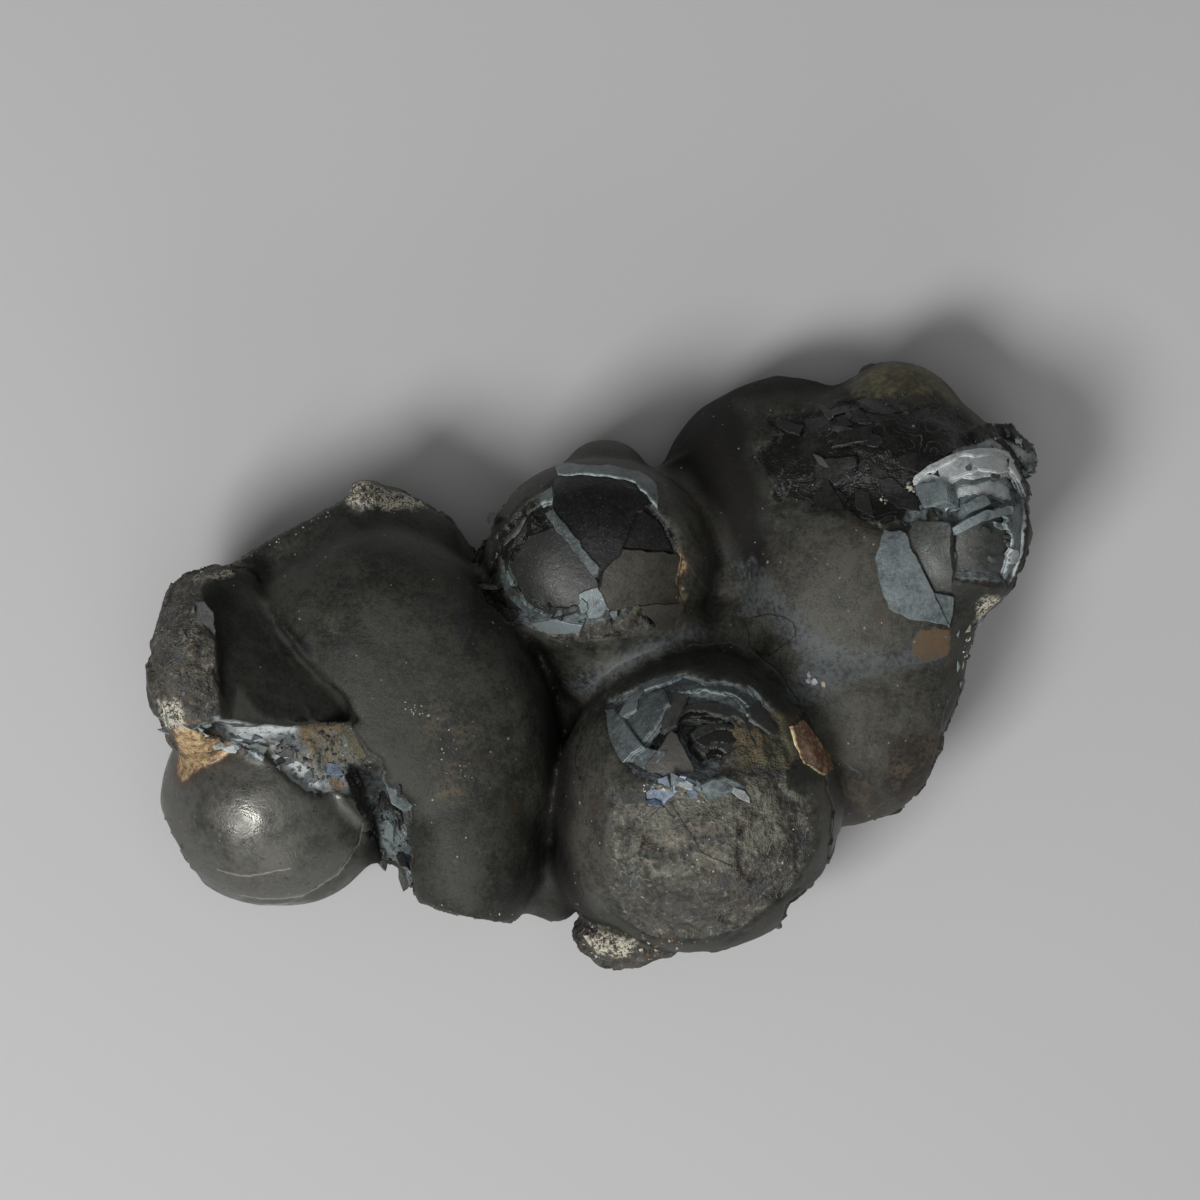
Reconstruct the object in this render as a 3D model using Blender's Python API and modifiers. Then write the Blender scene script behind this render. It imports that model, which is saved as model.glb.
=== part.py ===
"""Coronadite: one botryoidal specimen, lying on its broken back with its lobes up."""

import collections
import math

import bmesh
import bpy
import numpy as np
from mathutils import Matrix, Vector, noise

MM = 0.001

# Driving dimensions, in millimetres. X runs along the length, Y across it, Z up from the rest face.
FUSE_VOXEL = 0.85
FINE_VOXEL = 0.75
TRIANGLES = 11000
LOBE_ROUNDNESS = 5
# The matrix behind the lobes, and the prism that trims the broken edges and is narrower at the back.
BACK_FLOOR = -3.0
BACK_HEIGHT = 19.0
BACK_INSET = 0.86
TRIM_FLOOR = -8.0
TRIM_TOP = 70.0
# Skin ends this far from the surface of the nearest lobe.
SKIN_REACH = 0.45
# Shells come off only above this height.
SHELL_FLOOR = 20.0
SHELL_FADE = 4.0
# Rounds of smoothing over all creases, and over the creases in the two broad skins.
SOFTEN_ROUNDS = 6
SKIN_SOFTEN_ROUNDS = 24
# A broken edge: its width, how far it wanders, and the size of its bends.
EDGE_WIDTH = 0.7
EDGE_WANDER = 0.5
EDGE_BEND = 2.6
# Splinters of broken rock: size, height and seed of each grade.
SPLINTERS = ((7.0, 1.3, 21), (2.8, 0.5, 22))
# The shaded slope was rubbed smooth: the share of the splinters that is left on it is small.
SLOPE_SPLINTERS = 0.15
# Moves the middle of the specimen's box onto the origin.
MIDDLE_SHIFT = (-0.1, 0.8)
FAR = 1e9
TINY = 1e-6

# A lobe: centre, radii, how square it is in section (2 is an ellipsoid), and its turn about Z in degrees.
Lobe = collections.namedtuple("Lobe", "centre radii square turn", defaults=(2.0, 0.0))

# Lobes with a smooth skin.
SKIN_LOBES = {
    "west_ball": Lobe((-44.8, -18.8, 18.5), (14.6, 14.6, 15.0)),
    "west_ball_shell": Lobe((-43.0, -19.6, 16.0), (14.3, 14.1, 14.4)),
    "great_lobe": Lobe((-24.2, -5.0, 17.0), (16.4, 25.0, 23.5), 3.4, 29.0),
    "great_lobe_shoulder": Lobe((-34.0, 4.6, 15.0), (13.0, 11.8, 23.0), 2.8),
    "great_lobe_toe": Lobe((-17.6, -22.5, 14.0), (9.8, 17.5, 25.6), 3.2),
    "rim_roll": Lobe((-35.0, 13.8, 12.0), (15.5, 9.4, 17.0), 2.6),
    "rim_flank": Lobe((-29.6, 12.2, 12.0), (12.2, 11.7, 16.0), 2.4),
    "middle_lobe": Lobe((0.0, 13.3, 18.0), (15.7, 13.9, 19.5), 2.9),
    "middle_bump": Lobe((0.8, 23.6, 12.0), (6.3, 6.4, 12.0)),
    "saddle": Lobe((4.8, 1.5, 12.0), (14.5, 9.5, 19.0), 2.4),
    "front_lobe": Lobe((13.2, -18.9, 24.0), (19.1, 20.5, 25.0), 2.2),
    "front_lobe_side": Lobe((2.2, -26.5, 18.0), (8.2, 9.5, 22.0), 2.2),
    "valley_lobe": Lobe((-7.6, -16.7, 12.0), (4.6, 8.0, 16.0)),
    "north_lobe": Lobe((26.2, 20.6, 8.5), (18.4, 18.4, 19.0)),
    "north_bump": Lobe((40.6, 31.4, 10.0), (9.6, 9.9, 15.0), 2.2),
    "north_east": Lobe((38.5, 25.0, 12.0), (17.0, 13.0, 19.0), 2.2),
    "east_lobe": Lobe((49.0, 18.0, 16.0), (10.2, 13.6, 20.5), 2.4),
    "east_middle": Lobe((36.5, 10.0, 13.0), (17.5, 15.5, 21.0), 3.0),
    "east_foot": Lobe((34.2, -5.2, 13.0), (15.5, 17.6, 19.5), 3.0),
    "east_edge": Lobe((42.0, -2.5, 12.0), (8.5, 14.5, 18.0), 2.4),
    "valley_floor": Lobe((20.0, 1.5, 10.0), (9.5, 9.0, 15.5), 2.2),
}

# Masses that have no skin of their own: broken walls and the matrix that joins the lobes.
ROUGH_LOBES = {
    "west_wall": Lobe((-53.0, -1.5, 19.0), (7.2, 12.6, 24.0), 2.6),
    "west_wall_top": Lobe((-50.5, 5.5, 15.0), (8.5, 8.5, 23.0), 2.4),
    "west_floor": Lobe((-43.0, -2.5, 14.0), (11.5, 14.0, 26.0), 2.4),
    "east_tip": Lobe((54.5, 28.6, 19.0), (6.5, 3.6, 12.0), 2.4),
    "peak": Lobe((-32.0, 20.4, 14.0), (5.0, 4.6, 13.0)),
    "south_lip": Lobe((4.5, -38.0, 14.0), (8.5, 4.6, 13.0), 2.2),
    "south_chip": Lobe((20.5, -34.0, 16.0), (6.0, 4.6, 10.0), 2.2),
}

# Where the specimen was broken off: its outline from above, which the round lobes stay inside.
OUTLINE = (
    (-59.8, -6.0), (-59.0, 8.0), (-56.7, 10.7), (-52.5, 12.5), (-49.6, 12.6), (-45.0, 15.4),
    (-40.0, 18.1), (-34.1, 21.4), (-32.3, 24.1), (-28.0, 23.6), (-20.0, 18.5), (-17.0, 12.0),
    (-12.0, 22.0), (-4.0, 31.0), (4.5, 30.5), (7.5, 27.5), (14.0, 36.0), (25.0, 40.6),
    (32.4, 38.2), (39.9, 41.2), (44.3, 40.2), (49.6, 37.4), (54.0, 34.0), (60.8, 28.4),
    (59.2, 24.2), (57.0, 21.0), (58.0, 16.6), (55.0, 9.5), (50.4, 4.4), (49.0, -3.4),
    (45.6, -9.8), (43.8, -16.5), (40.2, -20.2), (33.4, -23.0), (30.6, -28.0), (24.6, -32.2),
    (24.4, -36.0), (18.0, -38.2), (8.2, -39.8), (4.8, -41.4), (0.8, -41.4), (-4.6, -37.6),
    (-8.2, -35.8), (-16.2, -34.2), (-26.8, -31.1), (-30.2, -29.4), (-36.0, -34.4), (-52.0, -33.0),
    (-60.4, -18.0),
)

# A place where the rock was cut down to a plane: outline, a point on the plane, its rise along X and Y.
Cut = collections.namedtuple("Cut", "outline point rise")
# A shell broken off a lobe, or left standing where its depth is below zero. The fade says where along X
# the depth starts to lessen, over what length and by how much.
Shell = collections.namedtuple("Shell", "outline depth wander fade", defaults=(EDGE_WANDER, (0.0, 1.0, 0.0)))

# The shaded slope between the broken west wall and the great lobe.
WEST_SLOPE = (
    (-52.8, 9.6), (-47.6, 12.4), (-45.6, 6.7), (-42.4, 2.0), (-38.5, -2.7), (-34.9, -6.1),
    (-32.6, -8.4), (-44.6, -8.3), (-49.4, -6.4), (-50.2, 2.7),
)
# Crumbled rock between the slope, the west ball and the crevice.
WEST_CRUMBLE = (
    (-54.5, -8.2), (-44.5, -8.3), (-33.2, -8.6), (-28.0, -14.5), (-31.0, -17.5), (-37.5, -18.2),
    (-43.6, -13.2), (-47.5, -11.4),
)
CREVICE = (
    (-33.6, -14.0), (-29.2, -14.6), (-25.2, -19.0), (-24.6, -32.0), (-28.8, -31.5), (-30.4, -24.0),
)
MIDDLE_SCAR = (
    (-16.6, 10.0), (-14.2, 16.6), (-9.4, 21.4), (-5.6, 24.2), (1.4, 24.2), (6.6, 21.4), (10.6, 17.0),
    (11.6, 9.4), (10.0, 4.4), (2.6, 3.0), (-5.2, 2.4), (-12.4, 5.0),
)
MIDDLE_PLATE = (
    (-6.1, 24.2), (4.8, 24.0), (7.0, 20.8), (4.8, 19.7), (2.9, 14.3), (-0.1, 11.3), (-2.6, 15.0),
    (-6.1, 19.7),
)
MIDDLE_STRAP = ((-6.9, 19.3), (-5.6, 19.8), (0.2, 12.4), (-0.9, 11.4))
MIDDLE_CHIP = ((1.6, 14.5), (10.8, 14.2), (11.2, 6.8), (8.6, 3.4), (5.2, 6.4), (1.2, 7.4))
FRONT_CAVITY = (
    (0.4, -5.2), (5.4, -2.6), (11.2, -1.6), (20.4, -3.2), (24.2, -7.4), (26.2, -13.0), (24.0, -16.5),
    (12.2, -16.0), (5.2, -15.4), (2.0, -12.0),
)
FRONT_PIT = ((9.2, -6.8), (17.6, -6.0), (18.6, -10.6), (13.2, -14.2), (11.4, -12.0))
FRONT_FACE = (
    (1.2, -15.0), (13.2, -15.8), (25.0, -15.2), (30.0, -14.0), (30.8, -23.0), (26.6, -30.0),
    (16.0, -35.6), (2.0, -34.0),
)
NORTH_FLAKES = (
    (15.9, 36.4), (20.8, 32.4), (22.6, 30.2), (20.4, 27.8), (22.6, 24.0), (22.4, 20.8), (28.0, 20.2),
    (37.0, 17.6), (43.0, 18.0), (46.0, 25.6), (53.4, 30.2), (50.0, 36.6), (41.0, 34.4), (33.0, 37.6),
    (25.0, 40.0),
)
EAST_HOLLOW = (
    (43.2, 25.6), (47.0, 27.6), (53.0, 30.4), (60.0, 27.8), (58.0, 22.2), (56.0, 10.0), (46.6, 10.6),
    (44.2, 19.8),
)
EAST_PIT = ((45.2, 25.0), (49.8, 26.6), (51.4, 22.4), (48.2, 21.0), (46.2, 22.2))
EAST_PLATE = (
    (38.0, 17.2), (36.8, 13.2), (38.4, 6.8), (41.8, 5.6), (45.6, 4.8), (44.2, 9.2), (42.6, 12.6),
)
CUTS = {
    "west_slope": Cut(WEST_SLOPE, (-50.4, -7.3, 42.0), (-0.50, -0.40)),
    "west_crumble": Cut(WEST_CRUMBLE, (-40.0, -14.0, 31.0), (0.0, 0.25)),
    "crevice": Cut(CREVICE, (-28.0, -24.0, 19.0), (0.0, 0.3)),
}
SHELLS = {
    "middle_scar": Shell(MIDDLE_SCAR, 2.4, fade=(-6.0, 16.0, 1.6)),
    "middle_plate": Shell(MIDDLE_PLATE, -1.4),
    "middle_strap": Shell(MIDDLE_STRAP, -1.2, wander=0.1),
    "middle_chip": Shell(MIDDLE_CHIP, -0.9),
    "front_cavity": Shell(FRONT_CAVITY, 2.6, fade=(12.0, 14.0, 1.8)),
    "front_pit": Shell(FRONT_PIT, 4.5),
    "front_face": Shell(FRONT_FACE, 1.2),
    "north_flakes": Shell(NORTH_FLAKES, 1.3),
    "east_hollow": Shell(EAST_HOLLOW, 2.2),
    "east_pit": Shell(EAST_PIT, 4.0),
    "east_plate": Shell(EAST_PLATE, -0.9),
}
# The broad skin over the eastern lobes, which runs into itself with no creases.
EAST_SKIN = (
    (14.0, 10.0), (20.0, 22.0), (28.0, 30.0), (40.0, 28.0), (50.0, 22.0), (52.0, 6.0), (47.0, -10.0),
    (40.0, -18.0), (30.0, -16.0), (24.0, 0.0),
)
# The great lobe, from its shoulder to its toe.
WEST_SKIN = (
    (-44.0, 10.0), (-34.0, 13.0), (-22.0, 12.0), (-11.0, 0.0), (-10.0, -12.0), (-11.0, -30.0),
    (-22.0, -30.0), (-24.0, -18.0), (-34.0, -6.0), (-42.0, 2.0),
)
BACK_OUTLINE = (
    (-53.0, -6.0), (-50.0, 6.0), (-38.0, 13.0), (-22.0, 13.0), (-8.0, 21.0), (4.0, 24.0), (16.0, 30.0),
    (30.0, 34.0), (44.0, 33.0), (52.0, 24.0), (49.0, 8.0), (43.0, -6.0), (37.0, -16.0), (24.0, -27.0),
    (8.0, -33.0), (-6.0, -30.0), (-24.0, -28.0), (-44.0, -27.0),
)


def clear_scene():
    for obj in list(bpy.data.objects):
        bpy.data.objects.remove(obj, do_unlink=True)


def add_collection(name):
    collection = bpy.data.collections.new(name)
    bpy.context.scene.collection.children.link(collection)
    return collection


def add_object(name, bm, collection):
    mesh = bpy.data.meshes.new(name)
    bm.to_mesh(mesh)
    bm.free()
    obj = bpy.data.objects.new(name, mesh)
    collection.objects.link(obj)
    return obj


def apply_modifiers(obj):
    """Bakes the object's modifiers into its mesh and removes them."""
    bpy.context.view_layer.update()
    graph = bpy.context.evaluated_depsgraph_get()
    old = obj.data
    obj.data = bpy.data.meshes.new_from_object(obj.evaluated_get(graph))
    obj.modifiers.clear()
    bpy.data.meshes.remove(old)


def remesh(obj, voxel):
    modifier = obj.modifiers.new("Fuse", "REMESH")
    modifier.mode = "VOXEL"
    modifier.voxel_size = voxel * MM
    apply_modifiers(obj)


def soften(obj, rounds, outline=None):
    """Rounds the creases between lobes, everywhere or only inside an outline."""
    modifier = obj.modifiers.new("Soften", "SMOOTH")
    modifier.factor = 0.5
    modifier.iterations = rounds
    if outline:
        group = obj.vertex_groups.new(name="soft")
        inside = np.flatnonzero(inside_distance(points_of(obj), outline) > 0.0)
        group.add(inside.tolist(), 1.0, "REPLACE")
        modifier.vertex_group = group.name
    apply_modifiers(obj)
    obj.vertex_groups.clear()


def points_of(obj):
    co = np.empty(len(obj.data.vertices) * 3)
    obj.data.vertices.foreach_get("co", co)
    return co.reshape(-1, 3) / MM


def normals_of(obj):
    normals = np.empty(len(obj.data.vertices) * 3)
    obj.data.vertices.foreach_get("normal", normals)
    return normals.reshape(-1, 3)


def move_points(obj, co):
    obj.data.vertices.foreach_set("co", (co * MM).ravel())
    obj.data.update()


def ramp(value):
    value = np.clip(value, 0.0, 1.0)
    return value * value * (3.0 - 2.0 * value)


def inside_distance(co, outline):
    """Signed distance from each point to the outline seen from above, positive inside it."""
    x = co[:, 0]
    y = co[:, 1]
    nearest = np.full(len(co), FAR)
    within = np.zeros(len(co), bool)
    for (ax, ay), (bx, by) in zip(outline, outline[1:] + outline[:1]):
        dx = bx - ax
        dy = by - ay
        along = np.clip(((x - ax) * dx + (y - ay) * dy) / (dx * dx + dy * dy), 0.0, 1.0)
        nearest = np.minimum(nearest, np.hypot(x - ax - along * dx, y - ay - along * dy))
        if dy != 0.0:
            crosses = (ay > y) != (by > y)
            within ^= crosses & (x < ax + (y - ay) * dx / dy)
    return np.where(within, nearest, -nearest)


def wander(co, size, seed):
    """Smooth noise from -1 to 1 with features of the given size."""
    shift = Vector((seed * 13.7, seed * 5.3, seed * 9.1))
    return np.array([noise.noise(Vector(p) / size + shift) for p in co])


def hackle(co, size, seed):
    """Flat splinters of rock: each Voronoi cell is a small plane with its own height and slant."""
    shift = Vector((seed * 7.9, seed * 3.1, seed * 11.3))
    heights = np.empty(len(co))
    for i, p in enumerate(co):
        place = Vector(p) / size + shift
        _, cells = noise.voronoi(place)
        centre = cells[0]
        slant = Vector([noise.noise(centre * 3.7 + Vector((step, 0.0, 0.0))) for step in (11.0, 37.0, 59.0)])
        heights[i] = 0.6 * noise.noise(centre * 5.1) + 0.9 * slant.dot(place - centre)
    return heights


def lobe_place(co, lobe):
    """The points in a lobe's own turned frame, in units of its radii."""
    turn = math.radians(lobe.turn)
    x = co[:, 0] - lobe.centre[0]
    y = co[:, 1] - lobe.centre[1]
    along = (x * math.cos(turn) + y * math.sin(turn)) / lobe.radii[0]
    across = (y * math.cos(turn) - x * math.sin(turn)) / lobe.radii[1]
    return along, across, (co[:, 2] - lobe.centre[2]) / lobe.radii[2]


def lobe_depth(co, lobe):
    """Distance of each point outside a lobe, to first order."""
    along, across, up = lobe_place(co, lobe)
    flat = np.maximum(np.hypot(along, across), TINY)
    whole = np.maximum((flat**lobe.square + np.abs(up) ** lobe.square) ** (1.0 / lobe.square), TINY)
    level = (flat / whole) ** (lobe.square - 1.0) / flat
    rise = (np.abs(up) / whole) ** (lobe.square - 1.0) / lobe.radii[2]
    slope = np.hypot(level * along / lobe.radii[0], level * across / lobe.radii[1])
    return (whole - 1.0) / np.hypot(slope, rise)


def skin_share(co):
    """1 where a point lies on a lobe's smooth skin, 0 where the rock is broken."""
    nearest = np.full(len(co), FAR)
    for lobe in SKIN_LOBES.values():
        nearest = np.minimum(nearest, np.abs(lobe_depth(co, lobe)))
    return 1.0 - ramp((nearest - SKIN_REACH) / SKIN_REACH)


def edge_share(co, outline, edge=EDGE_WIDTH, ragged=EDGE_WANDER, seed=1):
    """1 inside the outline and 0 outside it, with a steep edge that wanders."""
    distance = inside_distance(co, outline) + ragged * wander(co, EDGE_BEND, seed)
    return ramp(distance / edge + 0.5)


def carve(co, cut, seed):
    """Lowers what stands above the cut's plane inside its outline."""
    floor = cut.point[2] + (co[:, 0] - cut.point[0]) * cut.rise[0] + (co[:, 1] - cut.point[1]) * cut.rise[1]
    co[:, 2] -= edge_share(co, cut.outline, seed=seed) * np.maximum(co[:, 2] - floor, 0.0)


def peel(co, normals, shell, seed):
    """Takes a shell off the upper surface inside its outline."""
    start, length, loss = shell.fade
    depth = shell.depth - loss * ramp((co[:, 0] - start) / length)
    share = edge_share(co, shell.outline, ragged=shell.wander, seed=seed)
    share *= ramp((co[:, 2] - SHELL_FLOOR) / SHELL_FADE)
    co -= normals * (share * depth)[:, None]


def make_lobes(collection):
    """All lobes and the matrix behind them, as overlapping closed shapes in one mesh."""
    bm = bmesh.new()
    for lobe in list(SKIN_LOBES.values()) + list(ROUGH_LOBES.values()):
        made = bmesh.ops.create_icosphere(bm, subdivisions=LOBE_ROUNDNESS, radius=1.0)
        for vertex in made["verts"]:
            flat = math.hypot(vertex.co.x, vertex.co.y)
            vertex.co /= (flat**lobe.square + abs(vertex.co.z) ** lobe.square) ** (1.0 / lobe.square)
        stretch = Matrix.Diagonal((*[radius * MM for radius in lobe.radii], 1.0))
        turn = Matrix.Rotation(math.radians(lobe.turn), 4, "Z")
        place = Matrix.Translation(Vector(lobe.centre) * MM) @ turn @ stretch
        bmesh.ops.transform(bm, matrix=place, verts=made["verts"])
    prism(bm, BACK_OUTLINE, (BACK_FLOOR, BACK_HEIGHT))
    return add_object("coronadite", bm, collection)


def prism(bm, outline, levels):
    """A closed prism over an outline, with a ring of points at each level. Returns its lowest points."""
    ring = [bm.verts.new((x * MM, y * MM, levels[0] * MM)) for x, y in outline]
    face = bm.faces.new(ring)
    base = face
    for low, high in zip(levels, levels[1:]):
        made = bmesh.ops.extrude_face_region(bm, geom=[face])
        raised = [v for v in made["geom"] if isinstance(v, bmesh.types.BMVert)]
        bmesh.ops.translate(bm, verts=raised, vec=(0.0, 0.0, (high - low) * MM))
        if face is not base:
            bmesh.ops.delete(bm, geom=[face], context="FACES_ONLY")
        face = next(f for f in made["geom"] if isinstance(f, bmesh.types.BMFace))
    bmesh.ops.recalc_face_normals(bm, faces=bm.faces)
    return ring


def make_break_outline(collection):
    """The prism that trims the specimen's broken edges, narrower at the back."""
    bm = bmesh.new()
    low = prism(bm, OUTLINE, (TRIM_FLOOR, BACK_HEIGHT, TRIM_TOP))
    bmesh.ops.scale(bm, verts=low, vec=(BACK_INSET, BACK_INSET, 1.0))
    cutter = add_object("break_outline", bm, collection)
    cutter.hide_render = True
    cutter.display_type = "WIRE"
    return cutter


def trim(obj, cutter):
    modifier = obj.modifiers.new("Trim", "BOOLEAN")
    modifier.operation = "INTERSECT"
    modifier.solver = "EXACT"
    modifier.object = cutter
    apply_modifiers(obj)


def carve_forms(obj):
    """Cuts the rock down where it broke away and takes the lost shells off the lobes."""
    co = points_of(obj)
    normals = normals_of(obj)
    for seed, cut in enumerate(CUTS.values(), 2):
        carve(co, cut, seed)
    for seed, shell in enumerate(SHELLS.values(), 5):
        peel(co, normals, shell, seed)
    move_points(obj, co)


def roughen(obj):
    """Gives every broken surface its splinters and leaves the skin of the lobes smooth."""
    co = points_of(obj)
    broken = 1.0 - skin_share(co)
    broken *= 1.0 - (1.0 - SLOPE_SPLINTERS) * edge_share(co, WEST_SLOPE, edge=1.5, ragged=0.0)
    relief = sum(height * hackle(co, size, seed) for size, height, seed in SPLINTERS)
    co += normals_of(obj) * (relief * broken)[:, None]
    move_points(obj, co)


def thin_out(obj, triangles):
    obj.data.calc_loop_triangles()
    modifier = obj.modifiers.new("Thin out", "DECIMATE")
    modifier.ratio = triangles / len(obj.data.loop_triangles)
    modifier.use_collapse_triangulate = True
    apply_modifiers(obj)


def cut_rest_face(obj):
    """Cuts the back off flat at the height the specimen rests at."""
    bm = bmesh.new()
    bm.from_mesh(obj.data)
    geometry = bm.verts[:] + bm.edges[:] + bm.faces[:]
    cut = bmesh.ops.bisect_plane(
        bm, geom=geometry, dist=1e-6, plane_co=(0.0, 0.0, 0.0), plane_no=(0.0, 0.0, -1.0), clear_outer=True
    )
    rim = [e for e in cut["geom_cut"] if isinstance(e, bmesh.types.BMEdge)]
    filled = bmesh.ops.triangle_fill(bm, use_beauty=True, use_dissolve=False, edges=rim)
    for face in [f for f in filled["geom"] if isinstance(f, bmesh.types.BMFace)]:
        if face.normal.z > 0:
            face.normal_flip()
    bmesh.ops.recalc_face_normals(bm, faces=bm.faces)
    bm.to_mesh(obj.data)
    bm.free()


def centre_on_origin(obj):
    co = points_of(obj)
    co[:, :2] += MIDDLE_SHIFT
    move_points(obj, co)


def add_material(obj):
    material = bpy.data.materials.new("coronadite")
    material.use_nodes = True
    shader = material.node_tree.nodes["Principled BSDF"]
    shader.inputs["Base Color"].default_value = (0.036, 0.034, 0.032, 1.0)
    shader.inputs["Roughness"].default_value = 0.46
    shader.inputs["Metallic"].default_value = 0.25
    obj.data.materials.append(material)


def main():
    clear_scene()
    specimen = add_collection("coronadite specimen")
    cutters = add_collection("cutters")
    rock = make_lobes(specimen)
    remesh(rock, FUSE_VOXEL)
    trim(rock, make_break_outline(cutters))
    remesh(rock, FINE_VOXEL)
    soften(rock, SOFTEN_ROUNDS)
    soften(rock, SKIN_SOFTEN_ROUNDS, EAST_SKIN)
    soften(rock, SKIN_SOFTEN_ROUNDS, WEST_SKIN)
    carve_forms(rock)
    remesh(rock, FINE_VOXEL)
    roughen(rock)
    thin_out(rock, TRIANGLES)
    cut_rest_face(rock)
    centre_on_origin(rock)
    add_material(rock)


if __name__ == "__main__":
    main()
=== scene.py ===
"""Builds the looks of a coronadite specimen, a dark lump of botryoidal ore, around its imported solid.

The rock is remeshed from the same lobes as the solid, then broken open in terraces that follow its shells.
Loose shells, plates, splinters, chips and crumbs are small closed pieces that lie on it.
"""

import collections
import math
import random

import bmesh
import bpy
import numpy as np
from mathutils import Matrix, Vector, noise
from mathutils.bvhtree import BVHTree


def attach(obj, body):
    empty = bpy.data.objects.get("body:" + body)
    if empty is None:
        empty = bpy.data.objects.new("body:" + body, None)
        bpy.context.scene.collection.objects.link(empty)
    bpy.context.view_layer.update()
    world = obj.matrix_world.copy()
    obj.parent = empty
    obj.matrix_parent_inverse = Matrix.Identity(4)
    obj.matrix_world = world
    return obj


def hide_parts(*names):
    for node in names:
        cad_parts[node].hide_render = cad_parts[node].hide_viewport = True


bl_info = {
    "name": "Coronadite specimen",
    "version": (1, 0, 0),
    "blender": (4, 5, 0),
    "location": "View3D > Sidebar > Coronadite",
    "description": "Builds a botryoidal coronadite specimen with its broken shells and a plain stage",
    "category": "Add Mesh",
}

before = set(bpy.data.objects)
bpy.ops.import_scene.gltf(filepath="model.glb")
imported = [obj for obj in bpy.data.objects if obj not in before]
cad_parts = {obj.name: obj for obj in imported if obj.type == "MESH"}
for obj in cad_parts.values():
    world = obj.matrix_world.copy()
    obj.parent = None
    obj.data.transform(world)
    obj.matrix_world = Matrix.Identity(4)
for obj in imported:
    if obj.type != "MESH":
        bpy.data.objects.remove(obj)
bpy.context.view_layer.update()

MM = 0.001
NODE = "coronadite"
ROCK = "specimen_rock"
SKIN_MESH = "lobe_skin"
BODY = "root"
FAR = 1e9
TINY = 1e-6

# The solid's own construction, in millimetres, which the rock repeats in finer mesh.
LOBE_ROUNDNESS = 6
BACK_FLOOR = -3.0
BACK_HEIGHT = 19.0
BACK_INSET = 0.86
TRIM_FLOOR = -8.0
TRIM_TOP = 70.0
SHELL_FLOOR = 20.0
SHELL_FADE = 4.0
MIDDLE_SHIFT = (-0.1, 0.8)
# How far the creases between lobes are rounded, everywhere and in the two broad skins, and the fillets that
# fill them: their reach, and the move at which a point counts as lying in a crease.
CREASE_REACH = 1.85
BROAD_CREASE_REACH = 3.7
FILLET_REACH = 3.4
FILLET_MOVE = 0.3
# Broken edges: how far outside an outline they are worked, how finely they wander, how wide the edge of a cut
# and the rim of a shell are, and the share of a shell's depth that is gone at its rim.
EDGE_MARGIN = 2.0
EDGE_BEND = 2.6
CUT_EDGE = 0.7
SHELL_RIM = 0.5
RIM_SHARE = 0.35
# The facing at which shells begin to come off, and how far it goes until they do so in full.
PEEL_FACING = 0.15
PEEL_FADE = 0.25
# How far off the lobes' skin a surface is broken rock, what share of its splinters two calm places lose, and
# how wide those places' edges are.
SKIN_REACH = 0.30
SLOPE_CALM = 0.85
FLAKES_CALM = 0.60
CALM_EDGE = 1.5
# Low swells of every surface: height, size and seed.
SWELLS = ((0.12, 6.0, 71), (0.05, 2.2, 72))
# What the material reads: the depth over which skin turns to broken rock, and the height over which the marks
# of the photographed face set in.
BARED_FROM = 0.30
BARED_OVER = 0.25
UPPER_FROM = 11.0
UPPER_OVER = 6.0
# The largest distances that are stored: under the skin, from a patch's edge and from a line. Then how far a
# line shows past its ends, half of its widest part, and how far the west ball's skin reaches.
DEPTH_REACH = 8.0
PATCH_REACH = 4.0
LINE_REACH = 3.0
LINE_OVERRUN = 0.3
LINE_WIDTH = 1.4
BALL_REACH = 1.2
# How many times each point's facing is averaged with its neighbours'.
UPWARD_ROUNDS = 10

# Loose pieces: the cell that a slab is divided in and the bevel of its rim, for plates and for splinters.
PLATE_MESH = (1.5, 0.09)
SPLINTER_MESH = (2.0, 0.06)
# How long the straight bits of a broken rim are, and how far they sway.
PLATE_RIM = (0.9, 0.17)
CHIP_RIM = (0.8, 0.17)
SPLINTER_RIM = (0.8, 0.09)
CORNER_SWAY = 0.3
SHARP_ANGLE = math.radians(28.0)
# Ground steeper than this, as the upward part of its normal, takes no splinters.
LEVEL_GROUND = 0.3
# The height from which the skin is searched where it isn't under the sky, in metres.
SEARCH_HEIGHT = 0.03
# The shells of a nest: thickness, how far their centres wander in pixels and their ends in degrees, the span
# of one step of their arcs, how far each reaches under the one outside it as a share of its width, and how
# far their inner edges wobble, how finely and how roughly.
NEST_THICKNESS = 1.3
NEST_SHIFT = 4.0
NEST_SWING = 9.0
NEST_STEP = 9.0
NEST_OVERLAP = 1.2
NEST_WOBBLE = 0.9
NEST_FINENESS = 0.30
NEST_ROUGHNESS = 0.1

# The photograph's scale: pixels for each millimetre, and the pixel over the origin of the plan.
PIXELS_PER_MM = 7.5
PLAN_ORIGIN = (600.0, 660.0)

# A lobe: centre, radii, how square it is in section (2 is an ellipsoid), and its turn about Z in degrees.
Lobe = collections.namedtuple("Lobe", "centre radii square turn", defaults=(2.0, 0.0))

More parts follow.
